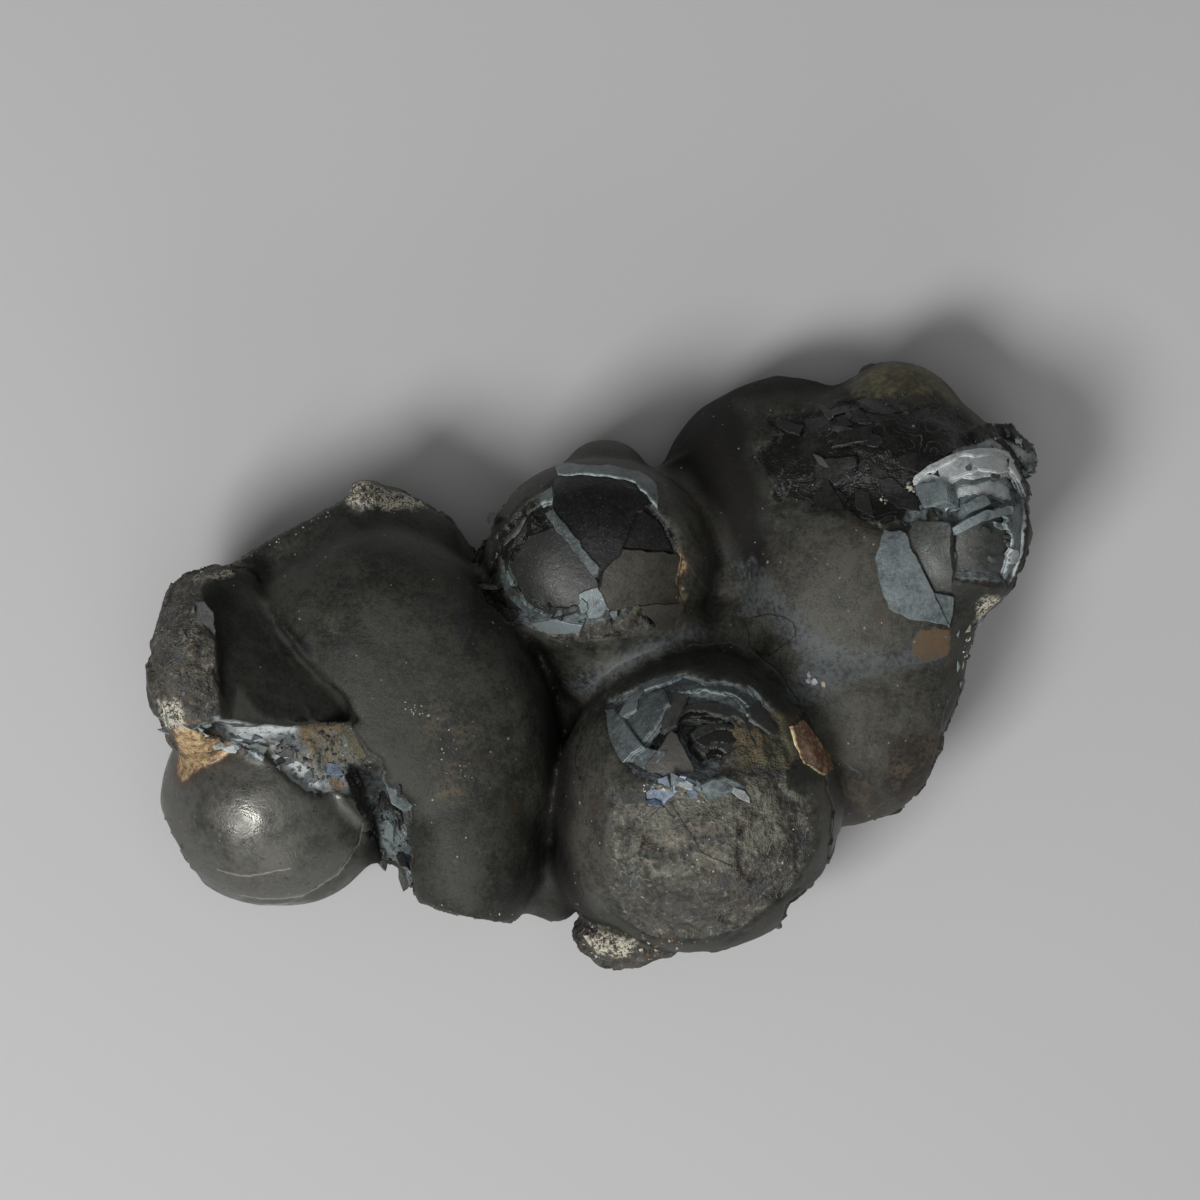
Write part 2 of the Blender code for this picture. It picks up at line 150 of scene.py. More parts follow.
# Lobes with a smooth skin.
SKIN_LOBES = {
    "west_ball": Lobe((-44.8, -18.8, 18.5), (14.6, 14.6, 15.0)),
    "west_ball_shell": Lobe((-43.0, -19.6, 16.0), (14.3, 14.1, 14.4)),
    "great_lobe": Lobe((-24.2, -5.0, 17.0), (16.4, 25.0, 23.5), 3.4, 29.0),
    "great_lobe_shoulder": Lobe((-34.0, 4.6, 15.0), (13.0, 11.8, 23.0), 2.8),
    "great_lobe_toe": Lobe((-17.6, -22.5, 14.0), (9.8, 17.5, 25.6), 3.2),
    "rim_roll": Lobe((-35.0, 13.8, 12.0), (15.5, 9.4, 17.0), 2.6),
    "rim_flank": Lobe((-29.6, 12.2, 12.0), (12.2, 11.7, 16.0), 2.4),
    "middle_lobe": Lobe((0.0, 13.3, 18.0), (15.7, 13.9, 19.5), 2.9),
    "middle_bump": Lobe((0.8, 23.6, 12.0), (6.3, 6.4, 12.0)),
    "saddle": Lobe((4.8, 1.5, 12.0), (14.5, 9.5, 19.0), 2.4),
    "front_lobe": Lobe((13.2, -18.9, 24.0), (19.1, 20.5, 25.0), 2.2),
    "front_lobe_side": Lobe((2.2, -26.5, 18.0), (8.2, 9.5, 22.0), 2.2),
    "valley_lobe": Lobe((-7.6, -16.7, 12.0), (4.6, 8.0, 16.0)),
    "north_lobe": Lobe((26.2, 20.6, 8.5), (18.4, 18.4, 19.0)),
    "north_bump": Lobe((40.6, 31.4, 10.0), (9.6, 9.9, 15.0), 2.2),
    "north_east": Lobe((38.5, 25.0, 12.0), (17.0, 13.0, 19.0), 2.2),
    "east_lobe": Lobe((49.0, 18.0, 16.0), (10.2, 13.6, 20.5), 2.4),
    "east_middle": Lobe((36.5, 10.0, 13.0), (17.5, 15.5, 21.0), 3.0),
    "east_foot": Lobe((34.2, -5.2, 13.0), (15.5, 17.6, 19.5), 3.0),
    "east_edge": Lobe((42.0, -2.5, 12.0), (8.5, 14.5, 18.0), 2.4),
    "valley_foot": Lobe((-7.0, -29.6, 9.0), (5.2, 7.2, 12.5)),
    "valley_floor": Lobe((20.0, 1.5, 10.0), (9.5, 9.0, 15.5), 2.2),
}

# Masses that have no skin of their own: broken walls and the matrix that joins the lobes.
ROUGH_LOBES = {
    "west_wall": Lobe((-53.0, -1.5, 19.0), (7.2, 12.6, 24.0), 2.6),
    "west_wall_top": Lobe((-50.5, 5.5, 15.0), (8.5, 8.5, 23.0), 2.4),
    "west_floor": Lobe((-43.0, -2.5, 14.0), (11.5, 14.0, 26.0), 2.4),
    "east_tip": Lobe((54.5, 28.6, 19.0), (6.5, 3.6, 12.0), 2.4),
    "peak": Lobe((-32.0, 20.4, 14.0), (5.0, 4.6, 13.0)),
    "south_lip": Lobe((4.5, -38.0, 14.0), (8.5, 4.6, 13.0), 2.2),
    "south_chip": Lobe((20.5, -34.0, 16.0), (6.0, 4.6, 10.0), 2.2),
}

# Where the specimen was broken off: its outline from above, which the round lobes stay inside.
OUTLINE = (
    (-59.8, -6.0), (-59.0, 8.0), (-56.7, 10.7), (-52.5, 12.5), (-49.6, 12.6), (-45.0, 15.4),
    (-40.0, 18.1), (-34.1, 21.4), (-32.3, 24.1), (-28.0, 23.6), (-20.0, 18.5), (-17.0, 12.0),
    (-12.0, 22.0), (-4.0, 31.0), (4.5, 30.5), (7.5, 27.5), (14.0, 36.0), (25.0, 40.6),
    (32.4, 38.2), (39.9, 41.2), (44.3, 40.2), (49.6, 37.4), (54.0, 34.0), (60.8, 28.4),
    (59.2, 24.2), (57.0, 21.0), (58.0, 16.6), (55.0, 9.5), (50.4, 4.4), (49.0, -3.4),
    (45.6, -9.8), (43.8, -16.5), (40.2, -20.2), (33.4, -23.0), (30.6, -28.0), (24.6, -32.2),
    (24.4, -36.0), (18.0, -38.2), (8.2, -39.8), (4.8, -41.4), (0.8, -41.4), (-4.6, -37.6),
    (-8.2, -35.8), (-16.2, -34.2), (-26.8, -31.1), (-30.2, -29.4), (-36.0, -34.4), (-52.0, -33.0),
    (-60.4, -18.0),
)
BACK_OUTLINE = (
    (-53.0, -6.0), (-50.0, 6.0), (-38.0, 13.0), (-22.0, 13.0), (-8.0, 21.0), (4.0, 24.0), (16.0, 30.0),
    (30.0, 34.0), (44.0, 33.0), (52.0, 24.0), (49.0, 8.0), (43.0, -6.0), (37.0, -16.0), (24.0, -27.0),
    (8.0, -33.0), (-6.0, -30.0), (-24.0, -28.0), (-44.0, -27.0),
)
# The broad skin over the eastern lobes, which runs into itself with no creases.
EAST_SKIN = (
    (14.0, 10.0), (20.0, 22.0), (28.0, 30.0), (40.0, 28.0), (50.0, 22.0), (52.0, 6.0), (47.0, -10.0),
    (40.0, -18.0), (30.0, -16.0), (24.0, 0.0),
)
# The great lobe, from its shoulder to its toe.
WEST_SKIN = (
    (-44.0, 10.0), (-34.0, 13.0), (-22.0, 12.0), (-11.0, 0.0), (-10.0, -12.0), (-11.0, -30.0),
    (-22.0, -30.0), (-24.0, -18.0), (-34.0, -6.0), (-42.0, 2.0),
)

# The shaded slope between the broken west wall and the great lobe.
WEST_SLOPE = (
    (-52.8, 9.6), (-47.6, 12.4), (-44.2, 7.6), (-41.0, 2.9), (-37.1, -1.8), (-33.4, -5.2),
    (-31.8, -7.9), (-44.6, -8.3), (-49.4, -6.4), (-50.2, 2.7),
)
# Crumbled rock between the slope, the west ball and the crevice.
WEST_CRUMBLE = (
    (-54.5, -8.2), (-44.5, -8.3), (-33.2, -8.6), (-28.0, -14.5), (-31.0, -17.5), (-37.5, -18.2),
    (-43.6, -13.2), (-47.5, -11.4),
)
CREVICE = (
    (-33.6, -14.0), (-29.2, -14.6), (-25.2, -19.0), (-24.6, -32.0), (-28.8, -31.5), (-30.4, -24.0),
)
MIDDLE_SCAR = (
    (-16.6, 10.0), (-14.2, 16.6), (-9.4, 21.4), (-5.6, 24.2), (1.4, 24.2), (6.6, 21.4), (10.6, 17.0),
    (11.6, 9.4), (10.0, 4.4), (2.6, 3.0), (-5.2, 2.4), (-12.4, 5.0),
)
FRONT_CAVITY = (
    (0.4, -5.2), (5.4, -2.6), (11.2, -1.6), (20.4, -3.2), (24.2, -7.4), (26.2, -13.0), (24.0, -16.5),
    (12.2, -16.0), (5.2, -15.4), (2.0, -12.0),
)
FRONT_PIT = ((9.2, -6.8), (17.6, -6.0), (18.6, -10.6), (13.2, -14.2), (11.4, -12.0))
FRONT_FACE = (
    (1.2, -15.6), (13.2, -16.2), (24.0, -15.4), (27.6, -18.0), (28.8, -23.0), (26.4, -30.0),
    (18.0, -36.6), (6.0, -37.6), (1.4, -34.0), (1.2, -24.0),
)
# The strip below the edge of the west ball's outer shell.
BALL_EDGE = (
    (-48.0, -31.7), (-45.1, -32.3), (-40.1, -32.0), (-35.2, -28.9), (-32.4, -24.8), (-31.7, -22.1),
    (-29.6, -22.1), (-29.6, -28.0), (-34.0, -33.3), (-40.0, -34.7), (-48.3, -33.6),
)
NORTH_FLAKES = (
    (15.9, 36.4), (20.8, 32.4), (22.6, 30.2), (20.4, 27.8), (22.6, 24.0), (22.4, 20.8), (28.0, 20.2),
    (37.0, 17.6), (43.0, 18.0), (46.0, 25.6), (53.4, 30.2), (50.0, 36.6), (41.0, 34.4), (33.0, 37.6),
    (25.0, 40.0),
)
EAST_HOLLOW = (
    (43.2, 25.6), (47.0, 27.6), (53.0, 30.4), (60.0, 27.8), (58.0, 22.2), (56.0, 10.0), (46.6, 10.6),
    (44.2, 19.8),
)
EAST_PIT = ((45.2, 25.0), (49.8, 26.6), (51.4, 22.4), (48.2, 21.0), (46.2, 22.2))
# A place where the rock was cut down to a plane: outline, a point on the plane, its rise along X and Y.
Cut = collections.namedtuple("Cut", "outline point rise")
EAST_TIP = ((48.0, 24.0), (64.0, 24.0), (64.0, 36.0), (48.0, 36.0))
CUTS = {
    "west_slope": Cut(WEST_SLOPE, (-50.4, -7.3, 42.0), (-0.50, -0.40)),
    "west_crumble": Cut(WEST_CRUMBLE, (-40.0, -14.0, 31.0), (0.0, 0.25)),
    "crevice": Cut(CREVICE, (-28.0, -24.0, 19.0), (0.0, 0.3)),
    "east_tip": Cut(EAST_TIP, (54.0, 28.5, 20.0), (-1.1, -0.2)),
}
# A shell broken off a lobe: outline, depth, the width over which it steps down from its rim, the height of a
# step, how far its edge and steps wander, and how the depth fades along X (start, length, loss).
Shell = collections.namedtuple("Shell", "outline depth reach step wander fade", defaults=((0.0, 1.0, 0.0),))
SHELLS = {
    "middle_scar": Shell(MIDDLE_SCAR, 2.8, 3.0, 0.50, 0.4, (-6.0, 16.0, 1.4)),
    "front_cavity": Shell(FRONT_CAVITY, 2.7, 2.4, 0.55, 0.4, (12.0, 14.0, 1.6)),
    "front_pit": Shell(FRONT_PIT, 2.4, 1.6, 0.70, 0.4),
    "front_face": Shell(FRONT_FACE, 0.9, 1.2, 0.45, 0.9),
    "north_flakes": Shell(NORTH_FLAKES, 0.9, 1.6, 0.45, 0.9),
    "east_hollow": Shell(EAST_HOLLOW, 3.2, 2.4, 0.55, 0.4),
    "east_pit": Shell(EAST_PIT, 4.0, 1.0, 0.0, 0.4),
    "ball_edge": Shell(BALL_EDGE, 0.7, 0.3, 0.0, 0.12),
}
# Splinters of broken rock: size, height and seed of each grade.
SPLINTERS = ((7.0, 1.2, 21), (2.8, 0.5, 22), (1.1, 0.22, 23))

# Patches of colour on the rock, as outlines in the photograph's pixels.
PATCHES = {
    "matrix": (
        ((150, 590), (176, 572), (205, 562), (232, 560), (226, 578), (204, 588), (218, 640), (222, 700),
         (220, 722), (186, 724), (160, 716), (148, 660)),
        ((612, 782), (668, 780), (716, 776), (760, 776), (792, 776), (810, 800), (820, 836), (806, 880),
         (780, 910), (740, 934), (640, 944), (608, 912), (610, 840)),
        ((398, 888), (470, 900), (540, 914), (600, 944), (655, 962), (640, 985), (560, 965), (520, 935),
         (400, 912)),
        ((942, 640), (970, 628), (970, 690), (944, 740), (930, 800), (900, 812), (934, 760), (946, 700)),
    ),
    # Painted shade: the west slope and the ridge beside it coloured darker where the slope falls in shade.
    "slope": (
        ((204, 588), (226, 568), (250, 566), (272, 600), (288, 624), (308, 648), (332, 674), (366, 722),
         (330, 728), (262, 724), (226, 718), (222, 640)),
    ),
    "sound": (
        ((220, 884), (300, 886), (340, 850), (352, 816), (374, 816), (384, 880), (344, 924), (226, 920)),
        ((236, 556), (262, 548), (300, 600), (340, 650), (372, 700), (382, 740), (356, 730), (300, 676),
         (262, 628), (244, 580)),
    ),
    # Painted shadow: darker colour on the north lobe's flank, in the valley between the great and front lobes
    # and at the crevice, where shade falls.
    "shade": (
        ((636, 436), (670, 404), (703, 390), (738, 370), (787, 352), (846, 362), (856, 392), (790, 390),
         (740, 400), (752, 424), (748, 452), (764, 482), (768, 572), (746, 576), (722, 516), (690, 470),
         (650, 458)),
        ((538, 690), (556, 694), (570, 740), (574, 800), (570, 850), (588, 900), (604, 926), (572, 938),
         (552, 900), (548, 830), (542, 760)),
        ((366, 816), (386, 800), (392, 860), (388, 900), (372, 904), (362, 860)),
    ),
    # Paler skin: partly the skin's own colour, partly painted light on the middle lobe's right rim, the
    # saddle and flanks that the lights leave in shade.
    "pale": (
        ((640, 458), (700, 474), (732, 520), (734, 600), (700, 640), (686, 600), (682, 550), (658, 500)),
        ((596, 640), (640, 612), (700, 600), (746, 580), (776, 520), (800, 508), (884, 528), (880, 600),
         (950, 632), (962, 700), (940, 745), (930, 796), (860, 836), (836, 800), (820, 740), (780, 680),
         (730, 644), (690, 640), (600, 694)),
        ((540, 700), (590, 690), (620, 760), (612, 900), (580, 930), (548, 900), (540, 800)),
        ((800, 780), (845, 780), (842, 850), (800, 880)),
    ),
    "crust": (
        ((616, 790), (660, 800), (720, 776), (790, 780), (800, 820), (760, 850), (720, 862), (640, 872),
         (618, 850)),
    ),
    "fresh": (
        ((176, 716), (230, 714), (272, 718), (340, 724), (362, 760), (400, 764), (428, 782), (424, 812),
         (412, 850), (414, 902), (372, 884), (362, 826), (318, 800), (268, 778), (240, 756), (184, 738)),
        ((540, 484), (560, 464), (612, 464), (652, 478), (660, 506), (640, 530), (600, 540), (600, 490),
         (556, 484)),
        ((500, 600), (520, 590), (600, 590), (640, 600), (640, 612), (560, 630), (520, 628)),
        ((596, 716), (612, 700), (640, 680), (684, 664), (720, 664), (764, 684), (772, 708), (730, 724),
         (716, 768), (690, 796), (650, 800), (622, 776), (612, 744)),
        ((874, 540), (900, 500), (918, 474), (962, 444), (1000, 430), (1054, 446), (1040, 510),
         (1034, 560), (1012, 596), (984, 626), (968, 690), (942, 742), (950, 690), (948, 632),
         (900, 620), (874, 570)),
    ),
    # Whitest broken edges: lighter shell edges, partly painted highlight where they face the lights.
    "white": (
        ((176, 714), (230, 711), (262, 716), (300, 722), (296, 732), (262, 738), (240, 744), (214, 738),
         (182, 728)),
        ((244, 738), (270, 740), (300, 758), (322, 784), (316, 800), (292, 788), (262, 760)),
        ((908, 500), (914, 478), (936, 460), (962, 444), (1000, 430), (1054, 446), (1048, 464), (1010, 452),
         (976, 462), (950, 478), (930, 500)),
        ((1030, 470), (1050, 462), (1040, 510), (1034, 550), (1014, 580), (1018, 540), (1026, 510)),
    ),
    "flake": (
        ((462, 570), (494, 516), (534, 484), (560, 490), (548, 540), (530, 600), (512, 622), (480, 600)),
        ((640, 500), (664, 490), (700, 524), (700, 600), (676, 644), (636, 616), (636, 530)),
        ((700, 376), (790, 358), (848, 372), (900, 390), (968, 392), (1050, 452), (1000, 436), (958, 450),
         (930, 470), (912, 502), (900, 526), (842, 520), (792, 510), (772, 524), (764, 500), (766, 476),
         (754, 450), (768, 432), (740, 404)),
    ),
    "ochre": (
        ((180, 726), (200, 724), (226, 738), (240, 750), (216, 758), (196, 772), (182, 782), (176, 768),
         (182, 748)),
        ((664, 558), (682, 556), (686, 570), (674, 582), (664, 574)),
    ),
    "orange": (
        ((916, 630), (950, 628), (951, 656), (926, 662), (912, 652)),
        ((332, 722), (342, 724), (340, 732), (332, 730)),
        ((330, 776), (350, 784), (344, 792), (330, 786)),
    ),
    "olive": (
        ((846, 376), (868, 360), (900, 350), (936, 360), (978, 386), (962, 400), (930, 390), (896, 394),
         (860, 392)),
        ((608, 548), (680, 552), (686, 600), (664, 616), (610, 612)),
    ),
    "honeycomb": (
        ((300, 728), (332, 722), (358, 738), (366, 760), (336, 768), (308, 756)),
        ((730, 722), (764, 710), (796, 716), (800, 748), (782, 764), (740, 762), (724, 746)),
    ),
    "tan": (
        ((425, 700), (466, 700), (480, 760), (470, 806), (440, 796), (426, 740)),
        ((330, 616), (346, 616), (346, 636), (330, 636)),
        ((812, 740), (850, 752), (886, 800), (850, 836), (836, 830)),
        ((890, 736), (944, 732), (942, 772), (906, 806), (886, 790)),
    ),
    "bloom": (
        ((756, 560), (776, 590), (812, 630), (840, 648), (884, 652), (946, 650), (942, 664), (872, 672),
         (830, 690), (800, 712), (790, 690), (804, 660), (780, 630), (766, 600), (750, 600)),
        ((560, 690), (600, 668), (650, 640), (690, 628), (722, 632), (690, 640), (640, 660), (590, 692)),
        ((740, 560), (764, 580), (770, 620), (744, 616)),
    ),
    "cream": (
        ((586, 938), (606, 936), (636, 944), (630, 958), (600, 956)),
        ((342, 480), (360, 478), (394, 492), (420, 490), (434, 506), (392, 508), (352, 502), (338, 492)),
        ((190, 562), (230, 558), (232, 574), (196, 580)),
        ((162, 700), (188, 700), (190, 726), (166, 728)),
        ((980, 600), (1002, 596), (1000, 618), (980, 624)),
    ),
    "brown": (
        ((890, 736), (944, 732), (942, 772), (906, 806), (886, 790)),
        ((824, 760), (872, 770), (890, 822), (846, 838), (832, 800)),
    ),
}
# Thin cracks in the skin, and thin light seams, as lines in the photograph's pixels.
CRACKS = (
    ((421, 528), (418, 541), (430, 552), (444, 560)),
    ((756, 650), (776, 668), (792, 690), (806, 712)),
    ((744, 620), (770, 614), (793, 620), (797, 634), (769, 658), (752, 647)),
    ((744, 620), (750, 634), (752, 647)),
    ((579, 742), (576, 760), (582, 778)),
    ((578, 870), (584, 892), (580, 912)),
    ((944, 584), (966, 582), (988, 586)),
    ((930, 506), (938, 522), (942, 536)),
    ((609, 612), (628, 606), (648, 605)),
    ((683, 557), (677, 583), (686, 612)),
    ((668, 796), (684, 820), (700, 846), (730, 860)),
    ((672, 812), (662, 800), (650, 812)),
)
SEAMS = (
    ((240, 898), (262, 902), (299, 900), (336, 877), (357, 846), (362, 826)),
    ((215, 870), (232, 874), (252, 876), (290, 868)),
    ((590, 686), (620, 664), (660, 646)),
    ((689, 646), (731, 642), (756, 653), (781, 676), (802, 706), (822, 739)),
    ((902, 664), (925, 662), (949, 655)),
    ((840, 756), (852, 768), (862, 776)),
    ((953, 696), (944, 714), (941, 736)),
    ((686, 560), (700, 582), (716, 596), (716, 570)),
)

# A nest of curved shells that step down towards a centre: the centre in the photograph's pixels, the radii in
# pixels and the angles in degrees where it starts and ends, the number of shells, their depths under the skin
# in millimetres where it starts and ends, its finishes, and the seed of its raggedness.
Nest = collections.namedtuple("Nest", "centre radii angles count depths finishes seed")
NESTS = {
    "front_shells": (
        Nest((702, 752), (92, 68), (40, 158), 4, (0.3, 1.1), ("fresh", "white", "fresh"), 3),
        Nest((708, 756), (68, 50), (16, 150), 3, (1.5, 2.2), ("grey", "dark"), 8),
        Nest((722, 756), (46, 16), (-10, 140), 4, (2.6, 3.8), ("dark", "grey", "dark"), 4),
    ),
    "middle_shells": (
        Nest((592, 584), (122, 98), (104, 170), 4, (0.2, 1.5), ("grey", "dark", "grey"), 5),
        Nest((556, 560), (66, 46), (196, 306), 3, (1.0, 1.8), ("grey", "grey", "fresh"), 6),
    ),
    "east_shells": (
        Nest((992, 560), (112, 70), (46, 132), 6, (0.3, 2.2), ("white", "fresh", "white", "grey"), 7),
    ),
}

# A broken plate of shell: outline in pixels, depth of its top under the skin, thickness, finish, and how much
# its top rises along X and Y.
Plate = collections.namedtuple("Plate", "outline depth thickness finish tilt", defaults=((0.0, 0.0),))
PLATES = {
    "middle_plates": (
        Plate(((554, 477), (606, 476), (636, 479), (652, 504), (636, 512), (622, 553), (599, 575), (576, 548),
               (554, 512)), 0.0, 1.8, "dark"),
        Plate(((556, 464), (580, 466), (609, 467), (640, 473), (656, 486), (657, 506), (650, 500), (636, 483),
               (606, 477), (560, 475)), -0.35, 1.2, "fresh"),
        Plate(((547, 515), (555, 511), (601, 568), (594, 577)), -0.4, 1.4, "fresh"),
        Plate(((609, 549), (660, 552), (684, 556), (677, 580), (686, 602), (664, 613), (640, 606), (612, 612),
               (600, 590)), 0.35, 1.4, "olive"),
        Plate(((640, 607), (684, 603), (672, 640), (662, 634), (652, 620)), 0.1, 1.0, "brown"),
        Plate(((483, 500), (487, 510), (493, 518), (500, 521), (495, 527), (488, 519)), -0.8, 0.7, "dark",
              (-0.2, 0.2)),
        Plate(((578, 596), (603, 586), (612, 612), (600, 622), (580, 622)), 1.1, 1.2, "fresh"),
        Plate(((530, 626), (556, 622), (583, 628), (578, 637), (540, 637)), 0.5, 1.2, "fresh"),
        Plate(((534, 488), (552, 482), (556, 496), (540, 502)), 0.3, 1.0, "fresh"),
        Plate(((624, 514), (640, 506), (662, 520), (678, 552), (640, 549), (610, 548), (622, 530)), 0.8, 1.0,
              "dark"),
        Plate(((500, 566), (524, 534), (556, 524), (588, 556), (600, 588), (576, 612), (540, 610),
               (512, 592)), 1.5, 1.6, "grey"),
    ),
    "front_plates": (
        Plate(((597, 718), (604, 708), (613, 706), (625, 720), (641, 742), (617, 762), (606, 748)), 0.2, 2.4,
              "fresh"),
        Plate(((614, 764), (642, 741), (662, 744), (652, 758), (628, 772)), 1.2, 1.6, "fresh", (0.1, 0.2)),
        Plate(((668, 722), (674, 726), (690, 756), (694, 776), (676, 782), (655, 780), (640, 760),
               (652, 744)), 1.4, 3.0, "brown", (-0.15, 0.25)),
        Plate(((620, 714), (638, 692), (660, 684), (666, 698), (650, 726), (640, 738), (628, 724)), 0.5, 1.6,
              "fresh", (0.15, 0.1)),
        Plate(((654, 694), (676, 682), (686, 690), (674, 718), (660, 724)), 0.9, 1.6, "grey", (-0.15, 0.1)),
        Plate(((747, 688), (770, 698), (792, 722), (776, 730), (752, 712)), 0.9, 1.8, "grey"),
        Plate(((788, 726), (800, 720), (818, 744), (832, 768), (822, 774), (800, 762), (792, 742)), -0.5, 2.0,
              "amber", (0.2, 0.2)),
        Plate(((822, 772), (834, 764), (843, 800), (840, 850), (828, 864), (832, 810)), -0.35, 2.0, "brown"),
        Plate(((640, 778), (664, 770), (673, 790), (656, 802), (642, 794)), 0.9, 1.2, "blue"),
        Plate(((612, 780), (640, 778), (644, 796), (620, 800)), 0.6, 1.0, "grey"),
        Plate(((690, 782), (724, 772), (744, 782), (712, 796)), 0.5, 1.0, "fresh", (0.0, 0.3)),
    ),
    "east_plates": (
        Plate(((916, 486), (944, 482), (947, 503), (924, 508)), -0.4, 3.0, "fresh"),
        Plate(((960, 504), (984, 493), (991, 503), (966, 514)), 0.6, 2.4, "fresh"),
        Plate(((948, 529), (980, 512), (1010, 507), (1013, 514), (982, 521), (953, 536)), 0.3, 2.4, "fresh"),
        Plate(((952, 533), (982, 521), (1013, 514), (1018, 548), (1008, 584), (952, 586)), 1.5, 2.0, "grey"),
        Plate(((952, 589), (990, 588), (987, 612), (970, 636), (954, 628)), 1.3, 2.0, "dark"),
        Plate(((884, 532), (904, 534), (921, 570), (932, 592), (947, 624), (930, 621), (907, 618), (888, 608),
               (879, 582), (874, 560)), -0.75, 1.8, "fresh"),
        Plate(((916, 520), (948, 524), (951, 592), (934, 592), (921, 568), (904, 537)), -0.1, 1.6, "grey"),
        Plate(((931, 592), (953, 595), (948, 627)), -0.5, 1.4, "fresh"),
        Plate(((1014, 512), (1034, 500), (1030, 530), (1026, 560), (1010, 584), (1018, 548)), 0.7, 2.4,
              "fresh"),
        Plate(((990, 592), (1012, 586), (1008, 604), (988, 620)), 0.4, 2.0, "grey"),
        Plate(((962, 634), (976, 630), (968, 668), (960, 668)), 0.2, 2.0, "fresh"),
    ),
}

# Flat splinters strewn over a broken place: outline in pixels, number, sizes in millimetres, width as a share
# of the length, direction in degrees with its spread, depths under the skin or below the top of the rock,
# largest tilt, thickness, finishes, what they lie on, and seed.
Strewn = collections.namedtuple(
    "Strewn", "outline count sizes slim turn depths tilt thickness finishes ground seed"
)
STREWN = {
    "north_flakes": (
        Strewn(((728, 392), (790, 372), (848, 384), (900, 402), (968, 404), (1020, 440), (960, 446),
                (918, 470), (906, 506), (842, 508), (792, 504), (776, 506), (772, 478), (772, 436)),
               22, (2.2, 5.6), 0.45, (-20, 60), (0.35, 0.9), 0.08, 0.5, ("dark",), "skin", 31),
        Strewn(((770, 400), (850, 400), (900, 420), (900, 500), (800, 500)),
               4, (1.0, 2.0), 0.35, (-30, 40), (0.3, 0.6), 0.12, 0.4, ("grey",), "skin", 35),
    ),
    "front_slabs": (
        Strewn(((648, 776), (720, 772), (790, 782), (770, 792), (700, 790), (650, 802)),
               12, (0.8, 2.0), 0.5, (0, 60), (0.3, 0.9), 0.25, 0.7, ("fresh", "blue", "white"), "skin", 36),
    ),
    "east_slabs": (
        Strewn(((900, 500), (920, 476), (1000, 440), (1044, 452), (1030, 560), (1000, 600), (980, 540),
                (1000, 500), (950, 476)),
               22, (0.5, 1.3), 0.6, (0, 180), (0.2, 1.2), 0.3, 0.9, ("fresh", "white", "grey"), "skin", 33),
    ),
    "middle_slabs": (
        Strewn(((500, 590), (560, 600), (640, 600), (660, 620), (600, 634), (530, 634)),
               16, (0.6, 1.5), 0.6, (0, 180), (0.5, 1.4), 0.2, 0.7, ("fresh", "grey", "brown"), "skin", 34),
        Strewn(((494, 520), (536, 486), (560, 470), (600, 470), (640, 476), (600, 482), (556, 486),
                (512, 530)),
               7, (0.7, 1.6), 0.3, (30, 30), (0.2, 0.7), 0.15, 0.6, ("fresh", "grey"), "skin", 37),
    ),
    "east_shards": (
        Strewn(((990, 436), (1008, 428), (1030, 434), (1050, 450), (1040, 480), (1030, 500), (1012, 478)),
               40, (0.6, 1.7), 0.45, (-30, 40), (-0.2, 0.3), 0.2, 0.8, ("fresh", "white", "fresh"), "rock",
               45),
        Strewn(((958, 630), (990, 610), (976, 640), (968, 690), (944, 738), (938, 720), (956, 680)),
               24, (0.6, 2.0), 0.5, (70, 30), (-0.3, 0.2), 0.3, 0.8, ("fresh", "cream", "grey"), "rock", 46),
    ),
    "west_shards": (
        Strewn(((176, 716), (200, 716), (268, 738), (272, 758), (240, 758), (214, 744), (180, 734)),
               26, (0.9, 3.2), 0.34, (-18, 16), (-0.3, 0.2), 0.3, 0.9, ("fresh", "white", "fresh"), "rock",
               41),
        Strewn(((262, 742), (300, 738), (322, 760), (322, 798), (296, 796), (268, 772)),
               24, (0.6, 1.7), 0.6, (0, 180), (-0.4, 0.2), 0.4, 0.9, ("grey", "fresh", "lilac"), "rock", 42),
        Strewn(((366, 780), (410, 784), (416, 850), (412, 898), (388, 892), (368, 840)),
               34, (1.0, 3.4), 0.32, (-72, 22), (-0.6, 0.3), 0.9, 1.0, ("grey", "dark", "grey", "fresh"),
               "rock", 43),
        Strewn(((160, 596), (200, 590), (216, 640), (216, 712), (170, 712), (152, 650)),
               12, (0.8, 1.8), 0.4, (80, 30), (-0.1, 0.4), 0.2, 1.0, ("rock", "lilac", "rock"), "rock", 44),
    ),
}

# Chips that lie on the broken rock: outline in pixels, how far they stand out, thickness, finish and tilt.
CHIPS = {
    "west_chips": (
        Plate(((246, 744), (258, 742), (270, 746), (264, 758), (254, 754)), 0.9, 2.0, "white", (0.0, -0.2)),
        Plate(((204, 602), (212, 601), (220, 612), (224, 650), (225, 700), (216, 708), (210, 660)), 0.5, 2.2,
              "lilac", (-0.2, 0.0)),
        Plate(((386, 776), (404, 770), (426, 784), (422, 800), (406, 808), (394, 800)), 0.9, 1.8, "fresh",
              (0.1, -0.2)),
        Plate(((398, 806), (412, 804), (420, 818), (412, 836), (402, 828)), 0.7, 1.6, "grey"),
        Plate(((364, 758), (380, 762), (386, 778), (370, 780)), 0.9, 1.6, "brown", (0.1, 0.1)),
        Plate(((167, 704), (176, 700), (186, 704), (190, 722), (170, 726)), 0.6, 1.8, "cream"),
        Plate(((328, 762), (342, 764), (344, 774), (328, 774)), 0.6, 1.4, "blue", (0.1, -0.2)),
    ),
    "south_chips": (
        Plate(((584, 938), (600, 936), (608, 944), (594, 951)), 0.3, 1.0, "cream"),
    ),
}

